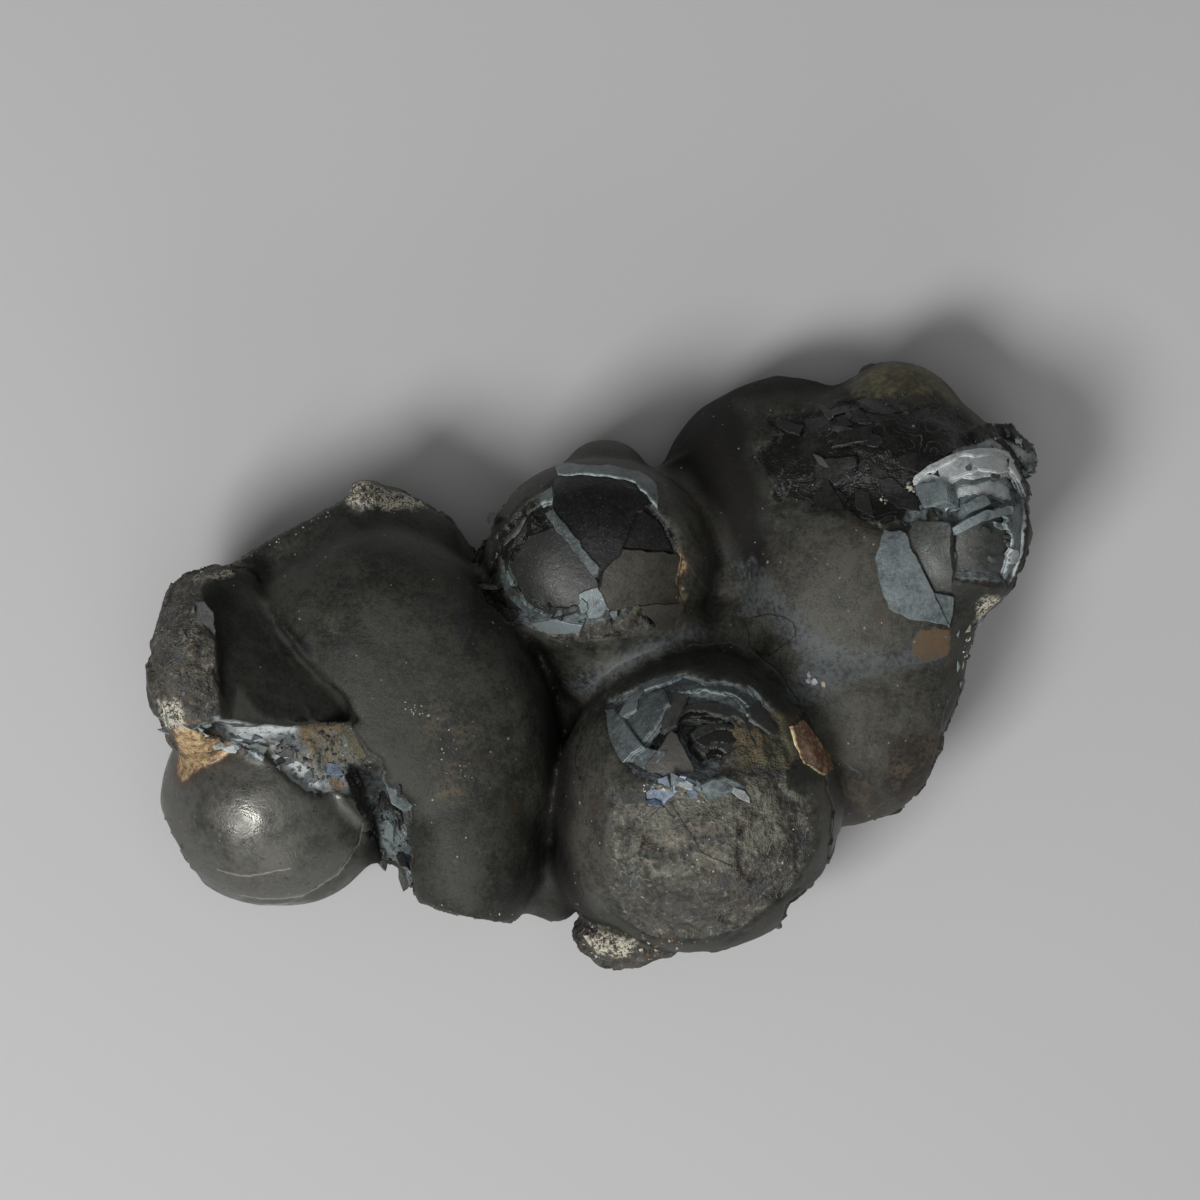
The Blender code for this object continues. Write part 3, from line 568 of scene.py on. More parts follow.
# Crumbs: outline in pixels, number, sizes in millimetres, finishes and seed.
Crumbs = collections.namedtuple("Crumbs", "outline count sizes finishes seed")
CRUMBS = {
    "crumbs": (
        Crumbs(((342, 482), (358, 480), (394, 494), (426, 496), (420, 506), (352, 504)), 90, (0.25, 0.8),
               ("cream", "cream", "rock"), 51),
        Crumbs(((188, 566), (226, 560), (232, 572), (196, 580)), 40, (0.2, 0.6), ("cream", "rock"), 52),
        Crumbs(((230, 556), (300, 524), (345, 500), (350, 508), (240, 566)), 40, (0.15, 0.4),
               ("cream", "rock"), 53),
        Crumbs(((404, 700), (424, 698), (428, 712), (408, 714)), 12, (0.15, 0.35), ("cream",), 54),
        Crumbs(((440, 716), (462, 722), (480, 780), (456, 800), (444, 760)), 26, (0.12, 0.4),
               ("cream", "rust", "rock"), 64),
        Crumbs(((806, 672), (826, 676), (824, 686), (806, 682)), 4, (0.8, 1.5), ("white", "cream"), 65),
        Crumbs(((410, 896), (470, 904), (534, 918), (536, 926), (470, 914), (404, 902)), 24, (0.15, 0.45),
               ("cream", "rock", "rock"), 55),
        Crumbs(((560, 928), (640, 932), (700, 938), (650, 962), (600, 962), (564, 944)), 90, (0.2, 0.8),
               ("cream", "rock", "rust"), 56),
        Crumbs(((640, 776), (712, 772), (716, 796), (650, 802)), 60, (0.2, 0.7),
               ("fresh", "blue", "cream"), 57),
        Crumbs(((268, 744), (340, 726), (372, 770), (362, 790), (300, 786)), 110, (0.25, 0.9),
               ("fresh", "grey", "brown", "rock"), 58),
        Crumbs(((366, 784), (400, 790), (414, 850), (412, 896), (384, 890), (368, 840)), 70, (0.3, 1.0),
               ("fresh", "grey", "dark"), 59),
        Crumbs(((160, 600), (200, 596), (216, 700), (170, 716)), 70, (0.2, 0.7),
               ("rock", "rock", "rust", "lilac", "rock"), 60),
        Crumbs(((876, 486), (940, 478), (944, 506), (884, 506)), 50, (0.25, 0.8), ("cream", "fresh"), 61),
        Crumbs(((976, 598), (1002, 596), (998, 622), (972, 666), (964, 660)), 40, (0.25, 0.8),
               ("cream", "fresh"), 62),
        Crumbs(((624, 796), (810, 786), (820, 850), (700, 898), (630, 880)), 120, (0.15, 0.5),
               ("rock", "cream", "rust", "brown"), 63),
    ),
}

# A finish of the loose pieces: what it is, its dark and light colours, how rough it is, how much lighter than
# its tops its broken edges are, and how metallic it is.
Finish = collections.namedtuple("Finish", "description dark light roughness gleam metallic")
FINISHES = {
    "fresh": Finish("Freshly broken shell", (0.065, 0.078, 0.080), (0.22, 0.26, 0.265), 0.46, 2.2, 0.25),
    # The white finish: light broken edges, partly painted highlight.
    "white": Finish("Whitest broken edges", (0.20, 0.23, 0.23), (0.66, 0.70, 0.70), 0.42, 1.6, 0.0),
    "grey": Finish("Grey shell", (0.034, 0.036, 0.033), (0.086, 0.091, 0.083), 0.46, 2.4, 0.25),
    "dark": Finish("Dark shell", (0.006, 0.0065, 0.006), (0.026, 0.028, 0.025), 0.38, 5.0, 0.25),
    "brown": Finish("Brown shell", (0.026, 0.025, 0.021), (0.066, 0.062, 0.052), 0.46, 1.3, 0.0),
    "olive": Finish("Olive shell", (0.022, 0.021, 0.016), (0.070, 0.064, 0.050), 0.46, 1.4, 0.25),
    "blue": Finish("Iridescent shell", (0.07, 0.10, 0.15), (0.30, 0.36, 0.44), 0.34, 1.6, 0.25),
    "lilac": Finish("Lilac shell", (0.048, 0.047, 0.047), (0.130, 0.127, 0.128), 0.46, 1.2, 0.25),
    "amber": Finish("Glassy amber chip", (0.14, 0.060, 0.025), (0.80, 0.55, 0.34), 0.20, 1.6, 0.0),
    "cream": Finish("Cream crust", (0.20, 0.17, 0.12), (0.80, 0.74, 0.60), 0.75, 1.6, 0.0),
    "rock": Finish("Broken matrix", (0.050, 0.046, 0.040), (0.17, 0.155, 0.135), 0.60, 1.2, 0.0),
    "rust": Finish("Rusty matrix", (0.08, 0.04, 0.02), (0.26, 0.15, 0.075), 0.70, 1.1, 0.0),
}
FINISH_NUMBERS = {finish: number for number, finish in enumerate(FINISHES)}

# The camera, in metres, with its sensor and lens in millimetres.
FRAME_WIDTH = 0.160
FRAME_HEIGHT_OVER_FLOOR = 0.030
SENSOR = 36.0
LENS = 160.0
CAMERA_SHIFT = (0.0, 0.0088)
# The lights, in metres: place and width of each. They all point at the same place.
LIGHTS = {
    "key": ((-0.30, -0.30, 0.66), 0.25),
    "fill": ((0.05, -0.15, 1.05), 0.60),
    "front": ((0.05, -0.62, 0.30), 0.45),
}
AIM = (0.0, 0.0, 0.02)
FLOOR_HALF_WIDTH = 3.0
FLOOR_ROUGHNESS = 0.8


def ramp(value):
    """A smooth step from 0 to 1."""
    value = np.clip(value, 0.0, 1.0)
    return value * value * (3.0 - 2.0 * value)


def wander(co, size, seed):
    """Smooth noise from -1 to 1 with features of the given size."""
    shift = Vector((seed * 13.7, seed * 5.3, seed * 9.1))
    return np.array([noise.noise(Vector(p) / size + shift) for p in co])


def hackle(co, size, seed):
    """Flat splinters of rock: each Voronoi cell is a small plane with its own height and slant."""
    shift = Vector((seed * 7.9, seed * 3.1, seed * 11.3))
    heights = np.empty(len(co))
    for i, p in enumerate(co):
        place = Vector(p) / size + shift
        _, cells = noise.voronoi(place)
        centre = cells[0]
        slant = Vector([noise.noise(centre * 3.7 + Vector((step, 0.0, 0.0))) for step in (11.0, 37.0, 59.0)])
        heights[i] = 0.6 * noise.noise(centre * 5.1) + 0.9 * slant.dot(place - centre)
    return heights


def plan(points):
    """Points of the photograph in the plan's millimetres."""
    left, top = PLAN_ORIGIN
    return tuple(((x - left) / PIXELS_PER_MM, (top - y) / PIXELS_PER_MM) for x, y in points)


def inside_distance(co, outline):
    """Signed distance from each point to the outline seen from above, positive inside it."""
    x = co[:, 0]
    y = co[:, 1]
    nearest = np.full(len(co), FAR)
    within = np.zeros(len(co), bool)
    for (ax, ay), (bx, by) in zip(outline, outline[1:] + outline[:1]):
        dx = bx - ax
        dy = by - ay
        along = np.clip(((x - ax) * dx + (y - ay) * dy) / (dx * dx + dy * dy), 0.0, 1.0)
        nearest = np.minimum(nearest, np.hypot(x - ax - along * dx, y - ay - along * dy))
        if dy != 0.0:
            crosses = (ay > y) != (by > y)
            within ^= crosses & (x < ax + (y - ay) * dx / dy)
    return np.where(within, nearest, -nearest)


def lobe_place(co, lobe):
    """The points in a lobe's own turned frame, in units of its radii."""
    turn = math.radians(lobe.turn)
    x = co[:, 0] - lobe.centre[0]
    y = co[:, 1] - lobe.centre[1]
    along = (x * math.cos(turn) + y * math.sin(turn)) / lobe.radii[0]
    across = (y * math.cos(turn) - x * math.sin(turn)) / lobe.radii[1]
    return along, across, (co[:, 2] - lobe.centre[2]) / lobe.radii[2]


def lobe_depth(co, lobe):
    """Distance of each point outside a lobe, to first order."""
    along, across, up = lobe_place(co, lobe)
    flat = np.maximum(np.hypot(along, across), TINY)
    whole = np.maximum((flat**lobe.square + np.abs(up) ** lobe.square) ** (1.0 / lobe.square), TINY)
    level = (flat / whole) ** (lobe.square - 1.0) / flat
    rise = (np.abs(up) / whole) ** (lobe.square - 1.0) / lobe.radii[2]
    slope = np.hypot(level * along / lobe.radii[0], level * across / lobe.radii[1])
    return (whole - 1.0) / np.hypot(slope, rise)


def tree_of(mesh, shift=(0.0, 0.0)):
    """A search tree over a mesh, moved back by a shift in the plan."""
    back = Vector((*shift, 0.0)) * MM
    return BVHTree.FromPolygons([v.co - back for v in mesh.vertices], [p.vertices for p in mesh.polygons])


def skin_tree():
    """A search tree over the whole lobes, as they were before they broke."""
    if SKIN_MESH not in bpy.data.meshes:
        raise RuntimeError("build the rock first: the other pieces lie on its lobes")
    return tree_of(bpy.data.meshes[SKIN_MESH])


def rock_tree():
    """A search tree over the finished rock, in the plan's place."""
    if ROCK not in bpy.data.objects:
        raise RuntimeError("build the rock first: chips and crumbs lie on it")
    return tree_of(bpy.data.objects[ROCK].data, MIDDLE_SHIFT)


def skin_depth(co, tree):
    """Distance of each point outside the whole lobes' skin, below zero inside it."""
    depths = np.empty(len(co))
    for i, p in enumerate(co * MM):
        spot, normal, _, distance = tree.find_nearest(p)
        depths[i] = math.copysign(distance, (Vector(p) - spot).dot(normal)) / MM
    return depths


def stepped(depth, step):
    """A slope turned into flat treads with steep risers."""
    if step <= 0.0:
        return depth
    level = depth / step
    whole = np.floor(level)
    return step * (whole + ramp((level - whole - 0.5) * 4.0 + 0.5))


def points_of(obj):
    co = np.empty(len(obj.data.vertices) * 3)
    obj.data.vertices.foreach_get("co", co)
    return co.reshape(-1, 3) / MM


def normals_of(obj):
    normals = np.empty(len(obj.data.vertices) * 3)
    obj.data.vertices.foreach_get("normal", normals)
    return normals.reshape(-1, 3)


def move_points(obj, co):
    obj.data.vertices.foreach_set("co", (co * MM).ravel())
    obj.data.update()


def add_object(name, bm):
    mesh = bpy.data.meshes.new(name)
    bm.to_mesh(mesh)
    bm.free()
    obj = bpy.data.objects.new(name, mesh)
    bpy.context.scene.collection.objects.link(obj)
    return obj


def apply_modifiers(obj):
    """Bakes the object's modifiers into its mesh and removes them."""
    bpy.context.view_layer.update()
    graph = bpy.context.evaluated_depsgraph_get()
    old = obj.data
    obj.data = bpy.data.meshes.new_from_object(obj.evaluated_get(graph))
    obj.modifiers.clear()
    bpy.data.meshes.remove(old)


def remesh(obj, voxel):
    modifier = obj.modifiers.new("Fuse", "REMESH")
    modifier.mode = "VOXEL"
    modifier.voxel_size = voxel * MM
    apply_modifiers(obj)


def soften(obj, reach, voxel, outline=None):
    """Rounds the creases between lobes over a reach, everywhere or only inside an outline."""
    modifier = obj.modifiers.new("Soften", "SMOOTH")
    modifier.factor = 0.5
    modifier.iterations = round(reach * reach / (voxel * voxel))
    if outline:
        group = obj.vertex_groups.new(name="soft")
        inside = np.flatnonzero(inside_distance(points_of(obj), outline) > 0.0)
        group.add(inside.tolist(), 1.0, "REPLACE")
        modifier.vertex_group = group.name
    apply_modifiers(obj)
    obj.vertex_groups.clear()


def prism(bm, outline, levels):
    """A closed prism over an outline, with a ring of points at each level. Returns its lowest points."""
    ring = [bm.verts.new((x * MM, y * MM, levels[0] * MM)) for x, y in outline]
    face = bm.faces.new(ring)
    base = face
    for low, high in zip(levels, levels[1:]):
        made = bmesh.ops.extrude_face_region(bm, geom=[face])
        raised = [v for v in made["geom"] if isinstance(v, bmesh.types.BMVert)]
        bmesh.ops.translate(bm, verts=raised, vec=(0.0, 0.0, (high - low) * MM))
        if face is not base:
            bmesh.ops.delete(bm, geom=[face], context="FACES_ONLY")
        face = next(f for f in made["geom"] if isinstance(f, bmesh.types.BMFace))
    bmesh.ops.recalc_face_normals(bm, faces=bm.faces)
    return ring


def add_lobes(bm, lobes):
    """Adds closed lobes to a mesh, overlapping where they grow together."""
    for lobe in lobes:
        made = bmesh.ops.create_icosphere(bm, subdivisions=LOBE_ROUNDNESS, radius=1.0)
        for vertex in made["verts"]:
            flat = math.hypot(vertex.co.x, vertex.co.y)
            vertex.co /= (flat**lobe.square + abs(vertex.co.z) ** lobe.square) ** (1.0 / lobe.square)
        stretch = Matrix.Diagonal((*[radius * MM for radius in lobe.radii], 1.0))
        turn = Matrix.Rotation(math.radians(lobe.turn), 4, "Z")
        place = Matrix.Translation(Vector(lobe.centre) * MM) @ turn @ stretch
        bmesh.ops.transform(bm, matrix=place, verts=made["verts"])


def fill_creases(obj, voxel):
    """Fills the creases between lobes with wide fillets and leaves what bulges as it is."""
    before = points_of(obj)
    normals = normals_of(obj)
    soften(obj, FILLET_REACH, voxel)
    moved = points_of(obj) - before
    share = ramp(np.einsum("ij,ij->i", moved, normals) / FILLET_MOVE)
    move_points(obj, before + moved * share[:, None])


def make_whole_lobes(voxel):
    """The lobes grown together, before anything broke off. Their mesh is kept as the skin's place."""
    bm = bmesh.new()
    add_lobes(bm, SKIN_LOBES.values())
    prism(bm, BACK_OUTLINE, (BACK_FLOOR, BACK_HEIGHT))
    rock = add_object(ROCK, bm)
    remesh(rock, voxel)
    soften(rock, CREASE_REACH, voxel)
    soften(rock, BROAD_CREASE_REACH, voxel, EAST_SKIN)
    soften(rock, BROAD_CREASE_REACH, voxel, WEST_SKIN)
    fill_creases(rock, voxel)
    skin = rock.data.copy()
    skin.name = SKIN_MESH
    return rock


def add_rough_masses(obj):
    bm = bmesh.new()
    bm.from_mesh(obj.data)
    add_lobes(bm, ROUGH_LOBES.values())
    bm.to_mesh(obj.data)
    bm.free()


def trim(obj):
    """Cuts the rock to its broken outline."""
    bm = bmesh.new()
    low = prism(bm, OUTLINE, (TRIM_FLOOR, BACK_HEIGHT, TRIM_TOP))
    bmesh.ops.scale(bm, verts=low, vec=(BACK_INSET, BACK_INSET, 1.0))
    cutter = add_object("trim_tool", bm)
    modifier = obj.modifiers.new("Trim", "BOOLEAN")
    modifier.operation = "INTERSECT"
    modifier.solver = "EXACT"
    modifier.object = cutter
    apply_modifiers(obj)
    bpy.data.objects.remove(cutter, do_unlink=True)


def near(co, outline, margin):
    """The numbers of the points inside the outline or within a margin of it."""
    low = np.min(outline, axis=0) - margin
    high = np.max(outline, axis=0) + margin
    boxed = np.flatnonzero(np.all((co[:, :2] > low) & (co[:, :2] < high), axis=1))
    return boxed[inside_distance(co[boxed], outline) > -margin]


def carve(co, cut, seed):
    """Lowers what stands above the cut's plane inside its outline."""
    where = near(co, cut.outline, EDGE_MARGIN)
    spot = co[where]
    away = spot - cut.point
    floor = cut.point[2] + away[:, 0] * cut.rise[0] + away[:, 1] * cut.rise[1]
    inward = inside_distance(spot, cut.outline) + 0.5 * wander(spot, EDGE_BEND, seed)
    share = ramp(inward / CUT_EDGE + 0.5)
    co[where, 2] -= share * np.maximum(spot[:, 2] - floor, 0.0)


def peel(co, normals, shell, seed):
    """Takes a shell off the upper surface inside its outline, in steps that follow the lobe."""
    where = near(co, shell.outline, EDGE_MARGIN)
    spot = co[where]
    start, length, loss = shell.fade
    depth = shell.depth - loss * ramp((spot[:, 0] - start) / length)
    inward = inside_distance(spot, shell.outline) + shell.wander * wander(spot, EDGE_BEND, seed)
    inward += 0.5 * shell.wander * wander(spot, 0.4 * EDGE_BEND, seed + 40)
    rim = ramp(inward / SHELL_RIM + 0.5)
    reached = np.clip(inward / shell.reach, 0.0, 1.0)
    fall = RIM_SHARE + (1.0 - RIM_SHARE) * reached
    if shell.step > 0.0:
        fall += 0.35 * wander(spot, 2.0 * EDGE_BEND, seed + 80) * reached
    taken = stepped(depth * fall, shell.step) * rim
    taken *= ramp((spot[:, 2] - SHELL_FLOOR) / SHELL_FADE)
    taken *= ramp((normals[where, 2] - PEEL_FACING) / PEEL_FADE)
    co[where] -= normals[where] * taken[:, None]


def carve_forms(obj):
    """Cuts the rock down where it broke away and takes the lost shells off the lobes."""
    co = points_of(obj)
    normals = normals_of(obj)
    for seed, cut in enumerate(CUTS.values(), 2):
        carve(co, cut, seed)
    for seed, shell in enumerate(SHELLS.values(), 5):
        peel(co, normals, shell, seed)
    move_points(obj, co)


def roughen(obj, tree):
    """Gives every broken surface its splinters and leaves the skin of the lobes smooth."""
    co = points_of(obj)
    swell = sum(height * wander(co, size, seed) for height, size, seed in SWELLS)
    co += normals_of(obj) * swell[:, None]
    broken = ramp((np.abs(skin_depth(co, tree)) - SKIN_REACH) / SKIN_REACH)
    for outline, calm in ((WEST_SLOPE, SLOPE_CALM), (NORTH_FLAKES, FLAKES_CALM)):
        broken *= 1.0 - calm * ramp(inside_distance(co, outline) / CALM_EDGE + 0.5)
    where = np.flatnonzero(broken > 0.0)
    relief = sum(height * hackle(co[where], size, seed) for size, height, seed in SPLINTERS)
    co[where] += normals_of(obj)[where] * (relief * broken[where])[:, None]
    move_points(obj, co)


def thin_out(obj, triangles):
    obj.data.calc_loop_triangles()
    modifier = obj.modifiers.new("Thin out", "DECIMATE")
    modifier.ratio = min(1.0, triangles / len(obj.data.loop_triangles))
    modifier.use_collapse_triangulate = True
    apply_modifiers(obj)


def cut_rest_face(obj):
    """Cuts the back off flat at the height the specimen rests at."""
    bm = bmesh.new()
    bm.from_mesh(obj.data)
    geometry = bm.verts[:] + bm.edges[:] + bm.faces[:]
    cut = bmesh.ops.bisect_plane(
        bm, geom=geometry, dist=TINY, plane_co=(0.0, 0.0, 0.0), plane_no=(0.0, 0.0, -1.0), clear_outer=True
    )
    rim = [e for e in cut["geom_cut"] if isinstance(e, bmesh.types.BMEdge)]
    bmesh.ops.triangle_fill(bm, use_beauty=True, use_dissolve=False, edges=rim)
    bmesh.ops.recalc_face_normals(bm, faces=bm.faces)
    bm.to_mesh(obj.data)
    bm.free()


def store(obj, name, values):
    """Keeps a number for each point, for the material to read."""
    attribute = obj.data.attributes.new(name, "FLOAT", "POINT")
    attribute.data.foreach_set("value", np.ascontiguousarray(values, dtype=np.float32))


def line_fields(co, lines):
    """For each point the signed distance to the nearest line, and how far it is from the line's ends."""
    side = np.full(len(co), LINE_REACH)
    end = np.full(len(co), -1.0)
    nearest = np.full(len(co), FAR)
    for line in lines:
        points = plan(line)
        for (ax, ay), (bx, by) in zip(points, points[1:]):
            length = math.hypot(bx - ax, by - ay)
            ux = (bx - ax) / length
            uy = (by - ay) / length
            along = (co[:, 0] - ax) * ux + (co[:, 1] - ay) * uy
            across = (co[:, 1] - ay) * ux - (co[:, 0] - ax) * uy
            beyond = np.maximum(np.maximum(-along, along - length), 0.0)
            distance = np.hypot(across, beyond)
            closer = (distance < nearest) & (distance < LINE_REACH)
            nearest[closer] = distance[closer]
            side[closer] = across[closer]
            end[closer] = np.minimum(LINE_OVERRUN - beyond, LINE_WIDTH - np.abs(across))[closer]
    return side, end


def upward(obj):
    """How far each point faces up, averaged over its surroundings."""
    edges = np.empty(len(obj.data.edges) * 2, np.int32)
    obj.data.edges.foreach_get("vertices", edges)
    start, end = edges.reshape(-1, 2).T
    facing = normals_of(obj)[:, 2]
    number = len(facing)
    neighbours = np.bincount(start, minlength=number) + np.bincount(end, minlength=number)
    for _ in range(UPWARD_ROUNDS):
        around = np.bincount(start, facing[end], number) + np.bincount(end, facing[start], number)
        facing = 0.5 * facing + 0.5 * around / np.maximum(neighbours, 1)
    return facing


def coarseness(heights, depths, patches):
    """How coarse the surface is: 0 on the skin, a half on fresh layers and flakes, 1 on broken matrix."""
    broken = ramp((np.abs(depths) - BARED_FROM) / BARED_OVER)
    for name in ("sound", "slope"):
        broken *= ramp(0.5 - patches[name])
    layered = ramp(0.5 + np.maximum(patches["fresh"], patches["flake"]))
    return broken * (1.0 - 0.5 * layered * ramp((heights - UPPER_FROM) / UPPER_OVER))


def store_fields(obj, tree):
    """Stores what the rock's material reads: depth under the skin, facing, patches, coarseness and lines."""
    co = points_of(obj)
    depths = np.clip(skin_depth(co, tree), -DEPTH_REACH, DEPTH_REACH)
    store(obj, "skin_depth", depths)
    store(obj, "upward", upward(obj))
    patches = {}
    for name, outlines in PATCHES.items():
        distance = np.max([inside_distance(co, plan(outline)) for outline in outlines], axis=0)
        patches[name] = np.clip(distance, -PATCH_REACH, PATCH_REACH)
        store(obj, name, patches[name])
    store(obj, "coarse", coarseness(co[:, 2], depths, patches))
    off_ball = np.abs(lobe_depth(co, SKIN_LOBES["west_ball"]))
    store(obj, "ball", np.clip(BALL_REACH - off_ball, -PATCH_REACH, PATCH_REACH))
    for name, lines in (("crack", CRACKS), ("seam", SEAMS)):
        side, end = line_fields(co, lines)
        store(obj, name + "_side", side)
        store(obj, name + "_end", end)


class Wire:
    """A socket of a material. Arithmetic on it adds Math nodes."""

    def __init__(self, tree, socket=None):
        self.tree = tree
        self.socket = socket

    def node(self, kind, settings=None, inputs=None, output=0):
        """Adds a node, sets it, feeds its sockets with values or wires and returns a wire from an output."""
        made = self.tree.nodes.new("ShaderNode" + kind)
        for name, value in (settings or {}).items():
            setattr(made, name, value)
        for name, value in (inputs or {}).items():
            feed(self, made, name, value)
        return Wire(self.tree, made.outputs[output])

    def math(self, operation, *values):
        return self.node("Math", {"operation": operation}, dict(enumerate(values)))

    def __add__(self, other):
        return self.math("ADD", self, other)

    def __radd__(self, other):
        return self.math("ADD", other, self)

    def __sub__(self, other):
        return self.math("SUBTRACT", self, other)

    def __rsub__(self, other):
        return self.math("SUBTRACT", other, self)

    def __mul__(self, other):
        return self.math("MULTIPLY", self, other)

    def __rmul__(self, other):
        return self.math("MULTIPLY", other, self)

    def __truediv__(self, other):
        return self.math("DIVIDE", self, other)

    def __neg__(self):
        return self.math("MULTIPLY", self, -1.0)

    def over(self, low, high):
        """A smooth step from 0 at low to 1 at high."""
        settings = {"interpolation_type": "SMOOTHSTEP"}
        return self.node("MapRange", settings, {"Value": self, "From Min": low, "From Max": high})


def mix(share, under, over):
    """The colour under, covered by the colour over where share is 1."""
    wire = next(value for value in (share, under, over) if isinstance(value, Wire))
    return wire.node("Mix", {"data_type": "RGBA"}, {0: share, 6: under, 7: over}, output=2)


def new_material(name):
    """A material with an empty Principled surface, and a wire to build on."""
    material = bpy.data.materials.new(name)
    material.use_nodes = True
    tree = material.node_tree
    return material, Wire(tree), tree.nodes["Principled BSDF"]


def feed(wire, node, name, value):
    """Links a wire to a node's socket, or sets a value on the socket itself."""
    if isinstance(value, Wire):
        wire.tree.links.new(value.socket, node.inputs[name])
    else:
        node.inputs[name].default_value = value


def places(wire):
    return wire.node("TexCoord", output="Object")


def stored(wire, name):
    return wire.node("Attribute", {"attribute_name": name}, output="Fac")


def grain(wire, where, size, detail=2.0, roughness=0.55):
    """Noise around zero with features of a size in millimetres."""
    inputs = {"Vector": where, "Scale": 1.0 / (size * MM), "Detail": detail, "Roughness": roughness}
    return wire.node("TexNoise", None, inputs) - 0.5


class RockSurface:
    """The rock's finish: skin, broken layers and matrix, chosen by depth under the skin and by place."""

    def __init__(self, wire, settings):
        self.wire = wire
        self.settings = settings
        self.where = places(wire)
        self.broad = grain(wire, self.where, 9.0)
        self.middling = grain(wire, self.where, 2.6)
        self.fine = grain(wire, self.where, 0.7)
        self.dust = grain(wire, self.where, 0.28, detail=1.0)
        self.stain = grain(wire, self.where, 5.0)
        self.other_stain = grain(wire, self.where, 3.1)
        self.speckle = self.middling + self.fine
        self.ragged = 1.6 * self.middling + 0.9 * self.fine
        self.tone = (
            0.8 * self.broad + 0.9 * self.middling + 0.9 * self.fine + 0.7 * self.dust
        ).over(-0.36, 0.36)
        self.height = wire.node("SeparateXYZ", None, {"Vector": self.where}, output=2) / MM
        self.depth = stored(wire, "skin_depth")
        self.add_masks()

    def patch(self, name, width=0.5, wandering=1.0):
        """A mask of a stored patch, with an edge of a width and its wandering."""
        return (stored(self.wire, name) + wandering * self.ragged).over(-0.5 * width, 0.5 * width)

    def line(self, name, low, high):
        """A mask of stored lines, full within the distance low and gone at high."""
        wiggle = stored(self.wire, name + "_side") + 0.7 * self.middling + 0.3 * self.fine
        shown = (stored(self.wire, name + "_end") + 0.6 * self.middling).over(0.0, 0.3)
        return (1.0 - self.wire.math("ABSOLUTE", wiggle).over(low, high)) * shown

    def add_masks(self):
        """Works out which of the rock's materials shows where."""
        broad, middling, fine = self.broad, self.middling, self.fine
        upper = (self.height + 8.0 * middling + 4.0 * broad).over(UPPER_FROM, UPPER_FROM + UPPER_OVER)
        self.upper = upper * (stored(self.wire, "upward") + 0.4 * middling).over(0.10, 0.34)
        self.slope = self.patch("slope", 0.6, 0.3)
        # Mask of the painted shadow on the north flank, in the valley and at the crevice.
        self.shade = self.patch("shade", 3.0, 0.8)
        off_skin = self.wire.math("ABSOLUTE", self.depth) + 0.5 * fine
        bared = off_skin.over(BARED_FROM, BARED_FROM + BARED_OVER) * (1.0 - self.slope)
        self.bared = bared * (1.0 - self.patch("sound", 0.8, 0.2))
        self.fresh = self.patch("fresh", 0.6) * self.upper * self.bared
        self.flake = self.patch("flake", 0.6) * self.upper * self.bared
        self.ball = self.patch("ball", 1.0, 0.2) * (1.0 - self.bared)
        self.cream = self.patch("cream", 1.2) * self.upper * (self.dust + 0.8 * fine).over(-0.12, 0.05)
        self.matrix = self.patch("matrix", 0.8)
        outer_break = self.bared * (1.0 - self.fresh) * (1.0 - self.flake)
        self.matrix_share = self.wire.math("MAXIMUM", self.matrix * self.bared, outer_break)
        # Curved ledges of broken rock: contour lines of a noise.
        level = (grain(self.wire, self.where, 5.5, detail=1.5) + 0.10 * middling) * 11.0
        along = level - self.wire.math("FLOOR", level)
        contour = along.over(0.40, 0.50) * (1.0 - along.over(0.50, 0.60))
        self.ledges = contour * (self.stain + fine).over(-0.05, 0.15)

    def skin(self):
        """Charcoal brown skin, mottled, with faint cold and warm stains."""
        settings = self.settings
        tone = self.tone
        colour = mix(tone, settings.skin_dark, settings.skin_light)
        pale = mix(tone, settings.pale_lit_dark, settings.pale_lit_light)
        # Paler skin, partly painted light.
        colour = mix(self.patch("pale", 1.6, 1.2) * self.upper * 0.9, colour, pale)
        colour = mix(self.stain.over(0.08, 0.26) * 0.6, colour, settings.stain_warm)
        colour = mix((-self.stain).over(0.08, 0.26) * 0.5, colour, settings.stain_cold)
        colour = mix(self.other_stain.over(0.17, 0.27) * 0.5, colour, settings.stain_pale)
        colour = mix((-self.other_stain).over(0.12, 0.26) * 0.5, colour, settings.skin_dark)
        brown = mix(tone, settings.brown_dark, settings.skin_brown)
        return mix(self.patch("brown", 2.0) * self.upper * 0.8, colour, brown)

    def skin_places(self, colour):
        """The places where the skin differs: the satin ball, darker low down with painted shade, the painted
        shadow on the north flank and in creases, bloom, tan stains, painted shade in small pits and the slope
        with its painted shade.
        """
        settings = self.settings
        fine = self.fine
        ball_colour = mix(self.speckle.over(-0.35, 0.35), settings.ball_dark, settings.ball)
        # Painted shade: the west ball darker towards its lower rim, where its skin turns away from the
        # lights.
        lower = (self.height + 3.0 * self.middling).over(28.0, 15.0)
        ball_colour = mix(lower * 0.85, ball_colour, settings.skin_light)
        colour = mix(self.ball * 0.95, colour, ball_colour)
        # Painted shadow on the north flank, in the valley and at the crevice.
        colour = mix(self.shade, colour, mix(self.tone, settings.painted_shadow_dark, settings.painted_shadow_light))
        bloom = self.patch("bloom", 2.2, 1.6) * self.upper * (0.55 + 1.2 * fine).over(0.2, 0.9)
        colour = mix(bloom * 0.85, colour, settings.bloom)
        tan = self.patch("tan", 2.4, 1.6) * self.upper * (self.other_stain + fine).over(-0.05, 0.30)
        colour = mix(tan * 0.5, colour, settings.tan)
        # Painted shade in small pits: dark spots with no hollow under them.
        painted_pit_shade = (grain(self.wire, self.where, 1.4, roughness=0.7) + 0.3 * fine).over(0.16, 0.25)
        colour = mix(painted_pit_shade * 0.55, colour, settings.skin_dark)
        # The slope's painted shade.
        return mix(self.slope * 0.9, colour, mix(self.tone, settings.slope_shadow_dark, settings.slope_shadow_light))

